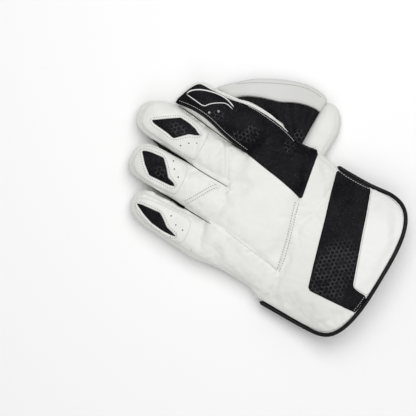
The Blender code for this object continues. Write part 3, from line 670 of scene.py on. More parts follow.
def swell(obj, held):
    """Swells padding by a cloth simulation of a coarser copy. Held is how firmly each point stays, from 0 to 1."""
    scene = bpy.context.scene
    coarse = obj.copy()
    coarse.data = obj.data.copy()
    scene.collection.objects.link(coarse)
    merge_skins(coarse, SWELL_VOXEL)
    applied(coarse)
    before, normals = mesh_points(coarse.data)
    group = coarse.vertex_groups.new(name="held")
    for index, weight in enumerate(held(before, normals)):
        group.add([index], float(weight), "REPLACE")
    cloth = coarse.modifiers.new("cloth", "CLOTH")
    cloth.settings.quality = 6
    cloth.settings.vertex_group_mass = "held"
    cloth.settings.use_pressure = True
    cloth.settings.uniform_pressure_force = SWELL_PRESSURE
    cloth.settings.shrink_min = -SWELL_GROWTH
    cloth.settings.effector_weights.gravity = 0
    for frame in range(1, SWELL_FRAMES + 1):
        scene.frame_set(frame)
    applied(coarse)
    after, _ = mesh_points(coarse.data)
    scene.frame_set(1)
    move = after - before
    reach = np.linalg.norm(move, axis=1)
    move *= (np.minimum(reach, SWELL_MOST) / np.maximum(reach, 1e-6))[:, None]
    bpy.data.objects.remove(coarse)
    tree = KDTree(len(before))
    for index, place in enumerate(before):
        tree.insert(place, index)
    tree.balance()
    points, _ = mesh_points(obj.data)
    for k, point in enumerate(points):
        near = tree.find_n(point, 4)
        weights = np.array([1 / (gap + 0.3) for _, _, gap in near])
        points[k] += weights @ move[[index for _, index, _ in near]] / weights.sum()
    set_points(obj.data, points)


# The padded body: hand, fingers and the back of the cuff


def stall_ring(stall, along, inset=0.0):
    left = stall.left + stall.width * value_at(stall.table, "left", along)
    right = stall.left + stall.width * value_at(stall.table, "right", along)
    low = HAND_LOW + stall.height * value_at(NOSE, "low", along)
    high = HAND_LOW + stall.height * value_at(NOSE, "high", along)
    inset = min(inset, 0.3 * (right - left), 0.3 * (high - low))
    at = KNUCKLES + along * stall.length
    return Ring(at, left + inset, right - inset, low + inset, high - inset)


def stall_rings(stall, inset=0.0):
    shares = spread(stall.table[0].along, 0.8, 26) + [1 - 0.2 * (1 - t) ** 1.8 for t in spread(0, 1, 14)][1:]
    if inset:
        shares = [share * (1 - inset / stall.length) for share in shares]
    return [stall_ring(stall, share, inset) for share in shares]


def hand_rings(inset=0.0, first=HAND[0].along, last=HAND[-1].along):
    rings = []
    for along in spread(first, last, 44):
        left, right, high = (value_at(HAND, column, along) for column in ("left", "right", "high"))
        rings.append(Ring(along, left + inset, right - inset, HAND_LOW + inset, high - inset))
    return rings


def cuff_point(across, along, inset=0.0, palm=False):
    """A point on the back of the cuff, or on its palm side, or on the surface a wall inside it."""
    left = -CUFF_LEFT * value_at(CUFF, "left", along)
    right = CUFF_RIGHT * value_at(CUFF, "right", along)
    high = CUFF_HEIGHT * value_at(CUFF, "high", along)
    widest = CUFF_HEIGHT * value_at(CUFF, "widest", along)
    x = (left + right) / 2 + across * ((right - left) / 2 - inset)
    if palm:
        z = widest - (widest - inset) * arch(across, BASE_POWER)
    else:
        z = widest + (high - inset - widest) * arch(across, CUFF_POWER)
    return np.array([x, WRIST_SEAM - along * CUFF_LENGTH, z])


def cuff_rear(across, length, depth):
    """The share of the cuff's length at its rear edge, which has rounded corners and is nearly straight between."""
    straight = (REAR_PULL - REAR_SLANT * across) * (1 - across**6) if length == CUFF_LENGTH else 0.0
    return (length - straight - depth * (1 - arch(across, CUFF_CORNER_POWER))) / CUFF_LENGTH


def cuff_sheet(palm, wall, length, depth, start):
    columns = [math.sin(math.pi / 2 * t) for t in spread(-1, 1, CUFF_SECTION_POINTS)]
    grids = []
    for inset in (0.0, wall):
        rows = []
        for share in spread(0, 1, CUFF_SECTIONS):
            row = []
            for across in columns:
                rear = cuff_rear(across, length, depth)
                row.append(cuff_point(across, start + share * (rear - start), inset, palm))
            rows.append(row)
        grids.append(rows)
    return slab(*grids)


def gusset(rows, half, low):
    """A narrow filler between two fingers: rows of distance forward, place across and height."""
    grid = [[(x - half, y, z), (x, y, z + 1), (x + half, y, z)] for y, x, z in rows]
    under = [[(x - half, y, low), (x, y, low), (x + half, y, low)] for y, x, z in rows]
    return slab(grid, under)


def slit(rows):
    """A cutter for the gap between two fingers."""
    grid = [[(row.across - row.half, row.along, 70.0), (row.across + row.half, row.along, 70.0)] for row in rows]
    under = [[(x, y, 5.0) for x, y, _ in row] for row in grid]
    return slab(grid, under)


def make_body():
    parts = [loft(hand_rings(), 96), cuff_sheet(False, CUFF_WALL, CUFF_LENGTH, CUFF_CORNER_DEPTH, CUFF_START)]
    parts += [loft(stall_rings(stall), 56, top_power=STALL_POWER) for stall in STALLS.values()]
    parts.append(gusset(GUSSET, 5.0, 6.0))
    body = moulded("padded_back", parts, SKIN_VOXEL, 7)
    swell(body, held_at_seams)
    shape_seams(body.data)
    hollow = [loft(hand_rings(WALL, HOLLOW_FROM, HOLLOW_TO), 64)]
    hollow += [loft(stall_rings(stall, WALL), 32, top_power=STALL_POWER) for stall in STALLS.values()]
    cavity = moulded("cavity", hollow, HOLLOW_VOXEL, 2)
    gaps = solid("slits", [slit(rows) for rows in SLITS])
    for cutter in (cavity, gaps):
        cut = body.modifiers.new(cutter.name, "BOOLEAN")
        cut.operation = "DIFFERENCE"
        cut.solver = "EXACT"
        cut.object = cutter
    applied(body)
    for cutter in (cavity, gaps):
        bpy.data.objects.remove(cutter)
    return body


def tip_seams():
    """The seam round each of three fingertips, just inside its edge."""
    seams = []
    for name in CAPS:
        rings = [stall_ring(STALLS[name], share) for share in spread(0.6, 0.972, 14)]
        left = [(ring.left + TIP_SEAM_INSET, ring.at) for ring in rings]
        seams.append(left + [(ring.right - TIP_SEAM_INSET, ring.at) for ring in reversed(rings)])
    return seams


def held_at_seams(points, normals):
    """The body's palm side, its seams and the cuff's rim stay where they are while the rest swells."""
    held = np.maximum(smooth_step((16 - points[:, 2]) / 8), smooth_step((0.1 - normals[:, 2]) / 0.4))
    for seam in BACK_SEAMS:
        held = np.maximum(held, smooth_step((4.5 - distance_to(points, seam)) / 3))
    return np.maximum(held, smooth_step((12 - distance_to(points, along_binding(False)[::4])) / 6))


def groove(gap, depth, width):
    """How far the leather is pressed in at a distance from a line."""
    return -depth * np.exp(-((gap / width) ** 2))


def pressed(gap, seam, pucker=0.0):
    """A seam's groove and the puckered rise beside it."""
    return groove(gap, seam.depth, seam.width) - groove(gap - seam.rise_at, seam.rise, seam.rise_width) * (1 + pucker)


def shape_seams(mesh):
    """Presses the seams into the padding and lets the leather pucker beside them."""
    points, normals = mesh_points(mesh)
    facing = smooth_step((normals[:, 2] - 0.05) / 0.5) * smooth_step((points[:, 2] - 14) / 10)
    facing *= smooth_step((distance_to(points, along_binding(False)[::4]) - 3) / 12)
    change = np.zeros(len(points))
    drift = np.array([noise.noise(Vector(point) * 0.04) for point in points]) * 9
    for seam in BACK_SEAMS:
        gap = distance_to(points, evenly(curve(seam), 3.0))
        pucker = np.sin((points[:, 0] * 0.7 + points[:, 1]) * math.tau / 8.5 + drift)
        change += pressed(gap, BACK_SEAM, pucker)
    for seam in tip_seams():
        gap = distance_to(points, evenly(curve(seam), 2.0))
        change += pressed(gap, TIP_SEAM)
    for k, point in enumerate(points):
        place = Vector(point)
        change[k] += noise.noise(place * 0.022) * 1.5 + noise.noise(place * 0.05 + Vector((7, 0, 0))) * 0.5
        fold = noise.noise(Vector((point[0] * 0.055, point[1] * 0.022, 3.0)))
        change[k] -= 0.35 * max(0.0, 1 - abs(fold) * 8)
    set_points(mesh, points + normals * (change * facing)[:, None])


# Panels that lie on the body


class Skin:
    """The outside of a shaped piece, for laying other pieces on it."""

    def __init__(self, *pieces):
        parts = [(mesh_points(piece.data)[0], [tuple(f.vertices) for f in piece.data.polygons]) for piece in pieces]
        self.tree = BVHTree.FromPolygons(*joined(parts))

    def height(self, x, y):
        """How high the top is. Just past an edge it is the height a little way in from it."""
        for step in range(6):
            place, _, _, _ = self.tree.ray_cast(Vector((x, y, ABOVE)), Vector((0, 0, -1)))
            if place is not None:
                return place.z
            inwards = Vector((HAND_MIDDLE[0] - x, HAND_MIDDLE[1] - y)).normalized()
            x, y = x + inwards.x * 0.8, y + inwards.y * 0.8
        return self.tree.find_nearest(Vector((x, y, MIDDLE_LEVEL)))[0].z

    def underside(self, x, y):
        """How high the bottom is, or the palm's level where nothing is above."""
        place, _, _, _ = self.tree.ray_cast(Vector((x, y, BELOW)), Vector((0, 0, 1)))
        return HAND_LOW if place is None else place.z

    def normal(self, x, y, reach=1.5):
        slope_x = (self.height(x + reach, y) - self.height(x - reach, y)) / (2 * reach)
        slope_y = (self.height(x, y + reach) - self.height(x, y - reach)) / (2 * reach)
        return np.array([-slope_x, -slope_y, 1.0]) / math.hypot(slope_x, slope_y, 1.0)


def plan_mesh(outline, holes, spacing):
    """Triangles that fill an outline in plan, finer along its edges."""
    edges, constraints, rims = [], [], []
    for line in (outline, *holes):
        loop = evenly(line, RIM_STEP, closed=True)
        start = len(edges)
        edges += loop.tolist()
        constraints += [(start + k, start + (k + 1) % len(loop)) for k in range(len(loop))]
        ahead, behind = np.roll(loop, -1, axis=0), np.roll(loop, 1, axis=0)
        tangent = ahead - behind
        tangent /= np.linalg.norm(tangent, axis=1)[:, None]
        side = np.stack([-tangent[:, 1], tangent[:, 0]], axis=1)
        for depth in RIM_DEPTHS:
            for turn in (1, -1):
                ring = loop + side * depth * turn
                rims.append(ring[distance_to(ring, loop, closed=True) > depth * 0.93])
    low, high = np.array(outline).min(axis=0), np.array(outline).max(axis=0)
    rows = []
    for r, y in enumerate(np.arange(low[1], high[1], spacing * 0.866)):
        xs = np.arange(low[0] + (r % 2) * spacing / 2, high[0], spacing)
        rows.append(np.stack([xs, np.full(len(xs), y)], axis=1))
    lattice = np.vstack(rows)
    gap = distance_to(lattice, outline, closed=True)
    for hole in holes:
        gap = np.minimum(gap, distance_to(lattice, hole, closed=True))
    inner = np.vstack([np.vstack(rims), lattice[gap > RIM_DEPTHS[-1] + spacing * 0.6]])
    keep = inside(inner, outline)
    for hole in holes:
        keep &= ~inside(inner, hole)
    places = edges + inner[keep].tolist()
    points, _, faces, _, _, _ = geometry.delaunay_2d_cdt([Vector(p) for p in places], constraints, [], 1, 1e-4)
    points = np.array([tuple(p) for p in points])
    faces = [tuple(face) for face in faces]
    middles = np.array([points[list(face)].mean(axis=0) for face in faces])
    keep = inside(middles, outline)
    for hole in holes:
        keep &= ~inside(middles, hole)
    return points, [face for face, kept in zip(faces, keep) if kept]


def vertex_normals(points, faces):
    corners = np.array(faces)
    a, b, c = (points[corners[:, k]] for k in range(3))
    normals = np.cross(b - a, c - a)
    normals[normals[:, 2] < 0] *= -1
    total = np.zeros_like(points)
    for k in range(3):
        np.add.at(total, corners[:, k], normals)
    return total / np.maximum(np.linalg.norm(total, axis=1), 1e-9)[:, None]


def evened(values, faces, passes):
    """Values over a mesh, averaged with their neighbours."""
    corners = np.array(faces)
    pairs = np.vstack([corners[:, [0, 1]], corners[:, [1, 2]], corners[:, [2, 0]]])
    for _ in range(passes):
        total, count = np.zeros_like(values), np.zeros(len(values))
        for one, other in ((0, 1), (1, 0)):
            np.add.at(total, pairs[:, one], values[pairs[:, other]])
            np.add.at(count, pairs[:, one], 1.0)
        values = (values + total / np.maximum(count, 1)) / 2
    return values


def panel(
    name,
    outline,
    height,
    thickness,
    edge=1.3,
    lift=0.3,
    tuck=0.6,
    holes=(),
    relief=None,
    spacing=1.9,
    passes=2,
    fade=None,
):
    """A leather panel cut to an outline in plan and laid at a height.

    A negative tuck makes it bulge below as well, by that share. A fade sinks the panel where it falls to 0.
    """
    plan, faces = plan_mesh(outline, holes, spacing)
    gap = distance_to(plan, outline, closed=True)
    for hole in holes:
        gap = np.minimum(gap, distance_to(plan, hole, closed=True))
    base = np.array([height(x, y) for x, y in plan])
    base = np.column_stack([plan, evened(base, faces, passes)])
    normals = vertex_normals(base, faces)
    bulge = np.sqrt(1 - (1 - np.clip(gap / edge, 0, 1)) ** 2)
    rise = lift + thickness * bulge
    if relief is not None:
        rise = rise + relief(plan) * smooth_step(gap / 3.0)
    if fade is not None:
        shown_part = fade(plan)
        rise = rise * shown_part - 0.5 * (1 - shown_part)
    drop = tuck if tuck >= 0 else -tuck * thickness * bulge - lift
    top = base + normals * rise[:, None]
    bottom = base - normals * np.broadcast_to(drop, rise.shape)[:, None]
    size = len(plan)
    sides = {}
    for face in faces:
        for a, b in pairwise(face + face[:1]):
            sides[(a, b)] = sides.get((a, b), 0) + 1
    rim = [(a, b) for a, b in sides if (b, a) not in sides]
    shell = list(faces) + [tuple(i + size for i in reversed(face)) for face in faces]
    shell += [(b, a, a + size, b + size) for a, b in rim]
    return solid(name, [(np.vstack([top, bottom]), shell)])


def bridged(height):
    """A height that falls away more gently over the hand's thumb side, as stiff leather does."""

    def gentle(x, y):
        reaches = SIDE_REACHES if x > SIDE_START else SIDE_REACHES[:1]
        return max(height(x - reach, y) - SIDE_SLOPE * reach for reach in reaches)

    return gentle


def creases(lines, depth, width):
    """A relief of grooves along lines in plan."""

    def relief(plan):
        change = np.zeros(len(plan))
        for line in lines:
            gap = distance_to(plan, evenly(curve(line), 3.0))
            change += groove(gap, depth, width)
        return change

    return relief


def noise_relief(scale, height, seed):
    def relief(plan):
        return np.array([noise.noise(Vector((x * scale, y * scale, seed))) * height for x, y in plan])

    return relief


# Stitches, piping and small trim


def bead(place, along, normal, length, width, height):
    """One stitch: a small rounded bar."""
    side = np.cross(normal, along)
    points = []
    sections = [(-0.5, 0.35), (-0.3, 0.9), (0.3, 0.9), (0.5, 0.35)]
    around = 6
    for stretch, girth in sections:
        for k in range(around):
            angle = math.tau * k / around
            points.append(
                place
                + along * stretch * length
                + side * math.cos(angle) * girth * width / 2
                + normal * math.sin(angle) * girth * height / 2
            )
    return points, tube_faces(len(sections), around)


Stitching = namedtuple("Stitching", "line pitch length width")


def stitched(name, skin, rows):
    """Rows of stitches laid on a skin."""
    parts = []
    for row in rows:
        stops = evenly(row.line, row.pitch)
        for k in range(len(stops) - 1):
            start, end = stops[k], stops[k + 1]
            middle = (start + end) / 2
            normal = skin.normal(*middle)
            along = np.array([*(end - start), 0.0])
            along -= normal * (along @ normal)
            along /= np.linalg.norm(along)
            place = np.array([*middle, skin.height(*middle)]) + normal * STITCH_LIFT
            parts.append(bead(place, along, normal, row.length, row.width, row.width * 0.8))
    return solid(name, parts)


def beside(line, offset):
    """A line moved sideways in plan."""
    line = np.array(line, float)
    tangent = np.gradient(line, axis=0)
    tangent /= np.linalg.norm(tangent, axis=1)[:, None]
    return line + np.stack([-tangent[:, 1], tangent[:, 0]], axis=1) * offset


def cord_on(path, width, height, around=10, closed=False):
    """A tube with an oval section along a path of points with normals."""
    places = np.array([place for place, _ in path])
    tangents = np.gradient(places, axis=0)
    points = []
    for place, tangent, (_, normal) in zip(places, tangents, path):
        tangent = tangent / np.linalg.norm(tangent)
        side = np.cross(tangent, normal)
        side /= np.linalg.norm(side)
        up = np.cross(side, tangent)
        for k in range(around):
            angle = math.tau * k / around
            points.append(place + side * math.cos(angle) * width / 2 + up * math.sin(angle) * height / 2)
    return points, tube_faces(len(places), around, closed)


def tapered(path, width, height, around=10, ends=0.15):
    """A cord that thins out towards both ends."""
    points, faces = cord_on(path, width, height, around)
    points = np.array(points).reshape(len(path), around, 3)
    for k, (place, _) in enumerate(path):
        t = k / (len(path) - 1)
        girth = smooth_step(min(t, 1 - t) / ends) * 0.85 + 0.15
        points[k] = place + (points[k] - place) * girth
    return points.reshape(-1, 3), faces


def two_sides(normal):
    """Two directions at right angles to a normal and to each other."""
    side = np.cross(normal, [1.0, 0.0, 0.0])
    side /= np.linalg.norm(side)
    return side, np.cross(normal, side)


def stud(skin, x, y, radius, height, sink=0.3):
    """A low round dome."""
    normal = skin.normal(x, y)
    place = np.array([x, y, skin.height(x, y)]) - normal * sink
    side, other = two_sides(normal)
    around = 14
    points = []
    profile = [(1.0, 0.0), (0.94, 0.6), (0.7, 0.9), (0.3, 1.0)]
    for reach, rise in profile:
        for k in range(around):
            angle = math.tau * k / around
            points.append(
                place
                + (side * math.cos(angle) + other * math.sin(angle)) * radius * reach
                + normal * (height + sink) * rise
            )
    return points, tube_faces(len(profile), around)


def eyelet(skin, x, y, radius, thickness):
    """A small ring set in the leather."""
    normal = skin.normal(x, y)
    centre = np.array([x, y, skin.height(x, y)]) + normal * thickness * 0.2
    side, other = two_sides(normal)
    path = []
    for k in range(18):
        angle = math.tau * k / 18
        path.append((centre + (side * math.cos(angle) + other * math.sin(angle)) * radius, normal))
    return cord_on(path, thickness, thickness, 8, closed=True)


def on_skin(skin, line, lift, steepest=math.inf):
    """A path on a skin, with its normals. It bridges what falls away faster than the steepest slope."""
    path = []
    lowest = -math.inf
    for x, y in evenly(line, PATH_STEP):
        height = skin.height(x, y)
        normal = skin.normal(x, y)
        if height < lowest:
            height, normal = lowest, np.array([0.0, 0.0, 1.0])
        path.append((np.array([x, y, height]) + normal * lift, normal))
        lowest = height - steepest * PATH_STEP
    return path


# Finishes


class Wire:
    """A value in a finish. Arithmetic on it adds Math nodes."""

    def __init__(self, finish, socket):
        self.finish, self.socket = finish, socket

    def math(self, operation, *others, before=()):
        return self.finish.node("Math", {"operation": operation}, [*before, self, *others])

    def __add__(self, other):
        return self.math("ADD", other)

    __radd__ = __add__

    def __sub__(self, other):
        return self.math("SUBTRACT", other)

    def __rsub__(self, other):
        return self.math("SUBTRACT", before=[other])

    def __mul__(self, other):
        return self.math("MULTIPLY", other)

    def __truediv__(self, other):
        return self.math("DIVIDE", other)

    def __mod__(self, other):
        return self.math("FLOORED_MODULO", other)

    def __abs__(self):
        return self.math("ABSOLUTE")

    def most(self, other):
        return self.math("MAXIMUM", other)

    def least(self, other):
        return self.math("MINIMUM", other)

    def sibling(self, output):
        """Another output of the same node."""
        return Wire(self.finish, self.socket.node.outputs[output])

    def held(self):
        """Kept between 0 and 1."""
        return self.most(0.0).least(1.0)

    def above(self, low, high):
        """0 below low, 1 above high and a slope between."""
        return ((self - low) / (high - low)).held()


class Finish:
    """A procedural material built round one shader."""

    def __init__(self, name, colour, roughness, **constants):
        self.material = bpy.data.materials.new(name)
        self.material.use_nodes = True
        self.tree = self.material.node_tree
        self.shader = self.tree.nodes["Principled BSDF"]
        self.shader.inputs["Base Color"].default_value = (*colour, 1.0)
        self.shader.inputs["Roughness"].default_value = roughness
        for socket, value in constants.items():
            self.shader.inputs[socket.replace("_", " ")].default_value = value
        self.material.diffuse_color = (*colour, 1.0)
        self.places = self.node("TexCoord", output="Object")

    def node(self, kind, settings=None, inputs=None, output=0):
        """Adds a node. Inputs are a list in socket order or a dict by name; None leaves a socket alone."""
        node = self.tree.nodes.new("ShaderNode" + kind)
        for setting, value in (settings or {}).items():
            setattr(node, setting, value)
        items = inputs.items() if isinstance(inputs, dict) else enumerate(inputs or [])
        for key, value in items:
            if isinstance(value, Wire):
                self.tree.links.new(value.socket, node.inputs[key])
            elif value is not None:
                node.inputs[key].default_value = value
        return Wire(self, node.outputs[output])

    def feed(self, socket, wire):
        self.tree.links.new(wire.socket, self.shader.inputs[socket])

    def noise(self, scale, detail=2.0, roughness=0.5):
        return self.node(
            "TexNoise", None, {"Vector": self.places, "Scale": scale, "Detail": detail, "Roughness": roughness}
        )

    def cells(self, scale, feature="F1"):
        return self.node(
            "TexVoronoi", {"feature": feature}, {"Vector": self.places, "Scale": scale}, output="Distance"
        )

    def mixed(self, mask, first, second):
        """A colour between two others."""
        colours = [(*c, 1.0) if isinstance(c, tuple) else c for c in (first, second)]
        return self.node(
            "Mix", {"data_type": "RGBA", "clamp_factor": True}, {0: mask, 6: colours[0], 7: colours[1]}, output=2
        )

    def plan(self, turn=0.0, middle=(0.0, 0.0)):
        """Millimetres across and forward in the glove's plan, turned by an angle about a middle."""
        x = self.node("SeparateXYZ", None, [self.places])
        y = x.sibling("Y")
        x = x / MM - (PLAN_ORIGIN[0] + middle[0])
        y = y / MM - (PLAN_ORIGIN[1] + middle[1])
        c, s = math.cos(turn), math.sin(turn)
        return x * c + y * s, y * c - x * s

    def bumps(self, height, distance, strength=1.0, before=None):
        inputs = {"Strength": strength, "Distance": distance, "Height": height, "Normal": before}
        return self.node("Bump", None, inputs)

    def near(self, x, y, wide, long):
        """1 in the middle of an ellipse in plan, falling to 0 at its edge."""
        across, forward = self.plan(middle=(x, y))
        across, forward = across / wide, forward / long
        return (1 - (across * across + forward * forward)).held()


def leather_grain(finish, cell, depth):
    """Fine pebbled grain with wider soft wrinkles under it."""
    pebbles = finish.cells(1000.0 / cell, "SMOOTH_F1")
    fine = finish.noise(2200.0, 3.0, 0.6)
    wrinkles = finish.noise(85.0, 4.0, 0.55)
    broad = finish.bumps(wrinkles, 0.0011, 0.55)
    return finish.bumps(pebbles * 0.8 + fine * 0.4, depth, 0.5, broad)


def white_leather(name="white_leather", colour=(0.755, 0.755, 0.73), roughness=0.46):
    finish = Finish(name, colour, roughness, Specular_IOR_Level=0.45)
    cloud = finish.noise(14.0, 3.0)
    specks = finish.noise(420.0, 2.0, 0.7)
    shade = tuple(c * k for c, k in zip(colour, (0.90, 0.895, 0.88)))
    soiled = tuple(c * k for c, k in zip(colour, (0.93, 0.90, 0.82)))
    base = finish.mixed(cloud.above(0.40, 0.72) * 0.55, colour, shade)
    stains = finish.noise(33.0, 4.0, 0.65).above(0.66, 0.78)
    base = finish.mixed(stains * 0.5, base, soiled)
    finish.feed("Base Color", base)
    finish.feed("Roughness", roughness - 0.06 + cloud * 0.10 + specks * 0.05)
    finish.feed("Normal", leather_grain(finish, 1.1, 0.00016))
    return finish.material


def gloss_leather():
    colour = (0.775, 0.775, 0.76)
    finish = Finish("gloss_white_leather", colour, 0.4, Specular_IOR_Level=0.32)
    cloud = finish.noise(11.0, 2.0)
    finish.feed("Base Color", finish.mixed(cloud.above(0.35, 0.75) * 0.6, colour, (0.745, 0.745, 0.73)))
    finish.feed("Roughness", 0.36 + cloud * 0.12)
    ripple = finish.noise(48.0, 2.0)
    fine = finish.noise(900.0, 2.0, 0.6)
    finish.feed("Normal", finish.bumps(fine, 0.00006, 0.5, finish.bumps(ripple, 0.0006, 0.5)))
    return finish.material


def honeycomb(finish, turn):
    """1 on the edges of a honeycomb and 0 inside its cells."""
    across, forward = finish.plan(turn)
    across, forward = across / HONEYCOMB_CELL, forward / HONEYCOMB_CELL
    tall = math.sqrt(3)

    def from_middle(x, y):
        x, y = abs(x % 1.0 - 0.5), abs(y % tall - tall / 2)
        return x.most(x * 0.5 + y * (tall / 2))

    reach = from_middle(across, forward).least(from_middle(across - 0.5, forward - tall / 2))
    return reach.above(0.385, 0.455)


def black_leather(name, turn=0.0, patches=()):
    """Black leather printed with a honeycomb that shows in patches."""
    finish = Finish(name, (0.007, 0.007, 0.009), 0.5, Specular_IOR_Level=0.06)
    # The cloudy lighter patches in the base colour stand for the sheen on black leather: painted sheen, mixed with some
    # tone that varies at random.
    cloud = finish.noise(38.0, 4.0, 0.6)
    base = finish.mixed(cloud.above(0.42, 0.70), (0.004, 0.004, 0.005), (0.010, 0.010, 0.012))
    if patches:
        edges = honeycomb(finish, turn)
        shown_here = reduce(Wire.most, [finish.near(*patch) for patch in patches])
        worn = finish.noise(120.0, 3.0, 0.7).above(0.35, 0.6)
        print_mask = edges * (shown_here * 1.6).held() * worn
        base = finish.mixed(print_mask * 0.7, base, (0.085, 0.085, 0.092))
    scuffs = finish.noise(430.0, 3.0, 0.7).above(0.54, 0.72)
    finish.feed("Base Color", finish.mixed(scuffs * 0.5, base, (0.042, 0.042, 0.046)))
    finish.feed("Roughness", 0.40 + cloud * 0.2)
    finish.feed("Normal", leather_grain(finish, 0.9, 0.00018))
    return finish.material


def binding_tape():
    finish = Finish("black_binding_tape", (0.007, 0.007, 0.009), 0.38, Specular_IOR_Level=0.14)
    weave = finish.noise(1500.0, 2.0, 0.6)
    cloud = finish.noise(60.0, 3.0)
    finish.feed("Base Color", finish.mixed(cloud.above(0.4, 0.7), (0.005, 0.005, 0.006), (0.013, 0.013, 0.015)))
    finish.feed("Roughness", 0.30 + cloud * 0.2)
    finish.feed("Normal", finish.bumps(weave, 0.00012, 0.5))
    return finish.material


def pimpled_rubber():
    finish = Finish("pimpled_rubber", (0.02, 0.02, 0.022), 0.62)
    across, forward = finish.plan()
    across, forward = across / 3.2, forward / 3.2

    def dot(x, y):
        x, y = x % 1.0 - 0.5, y % 1.0 - 0.5
        return 1 - (x * x + y * y) * 9.0

    dots = dot(across, forward).most(dot(across - 0.5, forward - 0.5)).held()
    finish.feed("Base Color", finish.mixed(dots, (0.016, 0.016, 0.018), (0.04, 0.04, 0.043)))
    finish.feed("Roughness", 0.72 - dots * 0.18)
    finish.feed("Normal", finish.bumps(dots, 0.0007, 0.8))
    return finish.material


def thread(name, colour):
    finish = Finish(name, colour, 0.6)
    twist = finish.noise(2600.0, 2.0)
    dark = tuple(c * 0.72 for c in colour)
    finish.feed("Base Color", finish.mixed(twist.above(0.3, 0.7), dark, colour))
    finish.feed("Roughness", 0.5 + twist * 0.2)
    finish.feed("Normal", finish.bumps(twist, 0.0001, 0.5))
    return finish.material


# The glove, piece by piece


def make_thumb():
    rings = []
    root, tip = THUMB[0].along, THUMB[-1].along
    nose = [tip - (tip - THUMB_NOSE) * (1 - t) ** 1.7 for t in spread(0, 1, 16)]
    for along in spread(root, THUMB_NOSE, 22) + nose[1:]:
        left, right = value_at(THUMB, "left", along), value_at(THUMB, "right", along)
        rings.append(Ring(along, left, right, value_at(THUMB_RISE, "low", along), value_at(THUMB_RISE, "high", along)))
    thumb = moulded("thumb", [loft(rings, 48, sideways=True)], 1.5, 4)
    points, normals = mesh_points(thumb.data)
    facing = smooth_step((normals[:, 2] - 0.1) / 0.5)
    change = groove(distance_to(points, THUMB_SEAM), 0.5, 1.4)
    for k, point in enumerate(points):
        change[k] += noise.noise(Vector(point) * 0.045) * 0.8
    set_points(thumb.data, points + normals * (change * facing)[:, None])
    return thumb


def border_height(x, y):
    """The web's middle surface: it leaves the index finger and sags towards its outer edge."""
    return WEB_HIGH - WEB_SAG * (max(x - WEB_INNER, 0.0) / WEB_REACH) ** 2


def web_height(x, y):
    """The same surface with folds that fan out from the thumb's root."""
    over, up = x - WEB_CORNER[0], y - WEB_CORNER[1]
    reach = math.hypot(over, up)
    ripple = 0.9 * math.sin(math.atan2(up, over) * 15.0 + reach * 0.06) * smooth_step(reach / 30.0)
    return border_height(x, y) + ripple * (1 - smooth_step((max(x - WEB_INNER, 0.0) - 34) / 12))


def along_binding(palm):
    """The binding's path round the cuff's free edge, with its normals."""
    length, depth = (CUFF_PALM_LENGTH, CUFF_PALM_CORNER_DEPTH) if palm else (CUFF_LENGTH, CUFF_CORNER_DEPTH)
    radius = PALM_BINDING_RADIUS if palm else BINDING_RADIUS
    drop = PALM_BINDING_RADIUS if palm else -CUFF_WALL / 2
    reach = 0.96 if palm else 1.0
    gap = radius + 0.1
    steps = [reach * math.sin(math.pi / 2 * t) for t in spread(-1, 1, 110)]
    rim = [cuff_point(across, cuff_rear(across, length, depth), palm=palm) for across in steps]
    path = []
    corner = cuff_rear(1.0, length, depth)
    if not palm:
        path += [cuff_point(-1.0, share * corner) - [gap, 0, 0] for share in spread(0, 1, 26)[:-1]]
    for k, across in enumerate(steps):
        before, after = rim[max(k - 1, 0)], rim[min(k + 1, len(rim) - 1)]
        tangent = (after - before)[:2]
        tangent /= np.linalg.norm(tangent)
        out = np.array([tangent[1], -tangent[0], 0.0]) if abs(across) < 1 else np.array([across, 0.0, 0.0])
        path.append(rim[k] + out * gap + [0, 0, drop * (1 - abs(across) ** 6)])
    if not palm:
        path += [cuff_point(1.0, share * corner) + [gap, 0, 0] for share in spread(0, 1, 26)[:-1][::-1]]
    return path


def make_binding(name, palm, width, height):
    path = evenly(along_binding(palm), 1.6)
    upright = np.array([0.0, 0.0, 1.0])
    random.seed(4)
    wobble = [random.uniform(-1, 1) for _ in range(len(path) // 5 + 3)]
    places = []
    for k, place in enumerate(path):
        t = k / 5
        sway = wobble[int(t)] + (wobble[int(t) + 1] - wobble[int(t)]) * (t - int(t))
        places.append((place + [0, 0, sway * 0.12], upright))
    return solid(name, [tapered(places, width, height, around=14, ends=0.04 if palm else 0.008)])


def make_facing(skin):
    """The rubber-faced sheet under the palm and the four fingers. Its dark wedge between two fingers stands partly for
    the real webbing and partly for the deep shade in the gap: painted shade.
    """

    def level(x, y):
        """The middle of the sheet, which curls up with the underside of the fingertips."""
        return 1.2 + min(max(skin.underside(x, y) - HAND_LOW - 0.4, 0.0), 12.0)

    left, right = [], []
    for along in spread(118, 204, 24):
        inset = 3.0 + 5.0 * (1 - float(smooth_step((along - 118) / 36)))
        left.append((value_at(HAND, "left", along) + inset, along))
        right.append((value_at(HAND, "right", along) - inset, along))
    outline = left
    for row in FACING_STALLS:
        stall = STALLS[row.name]
        rising = [stall_ring(stall, share) for share in spread(row.left_from, 0.96, 16)]
        falling = [stall_ring(stall, share) for share in spread(0.96, row.right_from, 16)]
        outline += [(ring.left + 2.6, ring.at) for ring in rising]
        outline += [(ring.right - 2.6, ring.at) for ring in falling]
        outline += row.gap_tip
    outline += right[::-1]
    sheet = {"edge": 1.0, "lift": 0.0, "tuck": -1.0, "spacing": 3.0, "passes": 3}
    return panel("palm_facing_sheet", rounded(outline, passes=1), level, 1.2, **sheet)


def make_cuff_palm():
    sheet = cuff_sheet(True, CUFF_PALM_WALL, CUFF_PALM_LENGTH, CUFF_PALM_CORNER_DEPTH, 0.0)
    return solid("cuff_palm_leather", [sheet])


def strip_relief(plan):
    """Creases where the black strip bends over the knuckle, and a groove along each row of stitches."""
    soft = noise_relief(0.05, 0.9, 9.0)(plan)
    rows = [beside(STRIP_LEFT, 3.1), STRIP_RIGHT]
    return soft + creases(STRIP_FOLDS, 0.9, 2.2)(plan) + creases(rows, 0.5, 0.9)(plan)


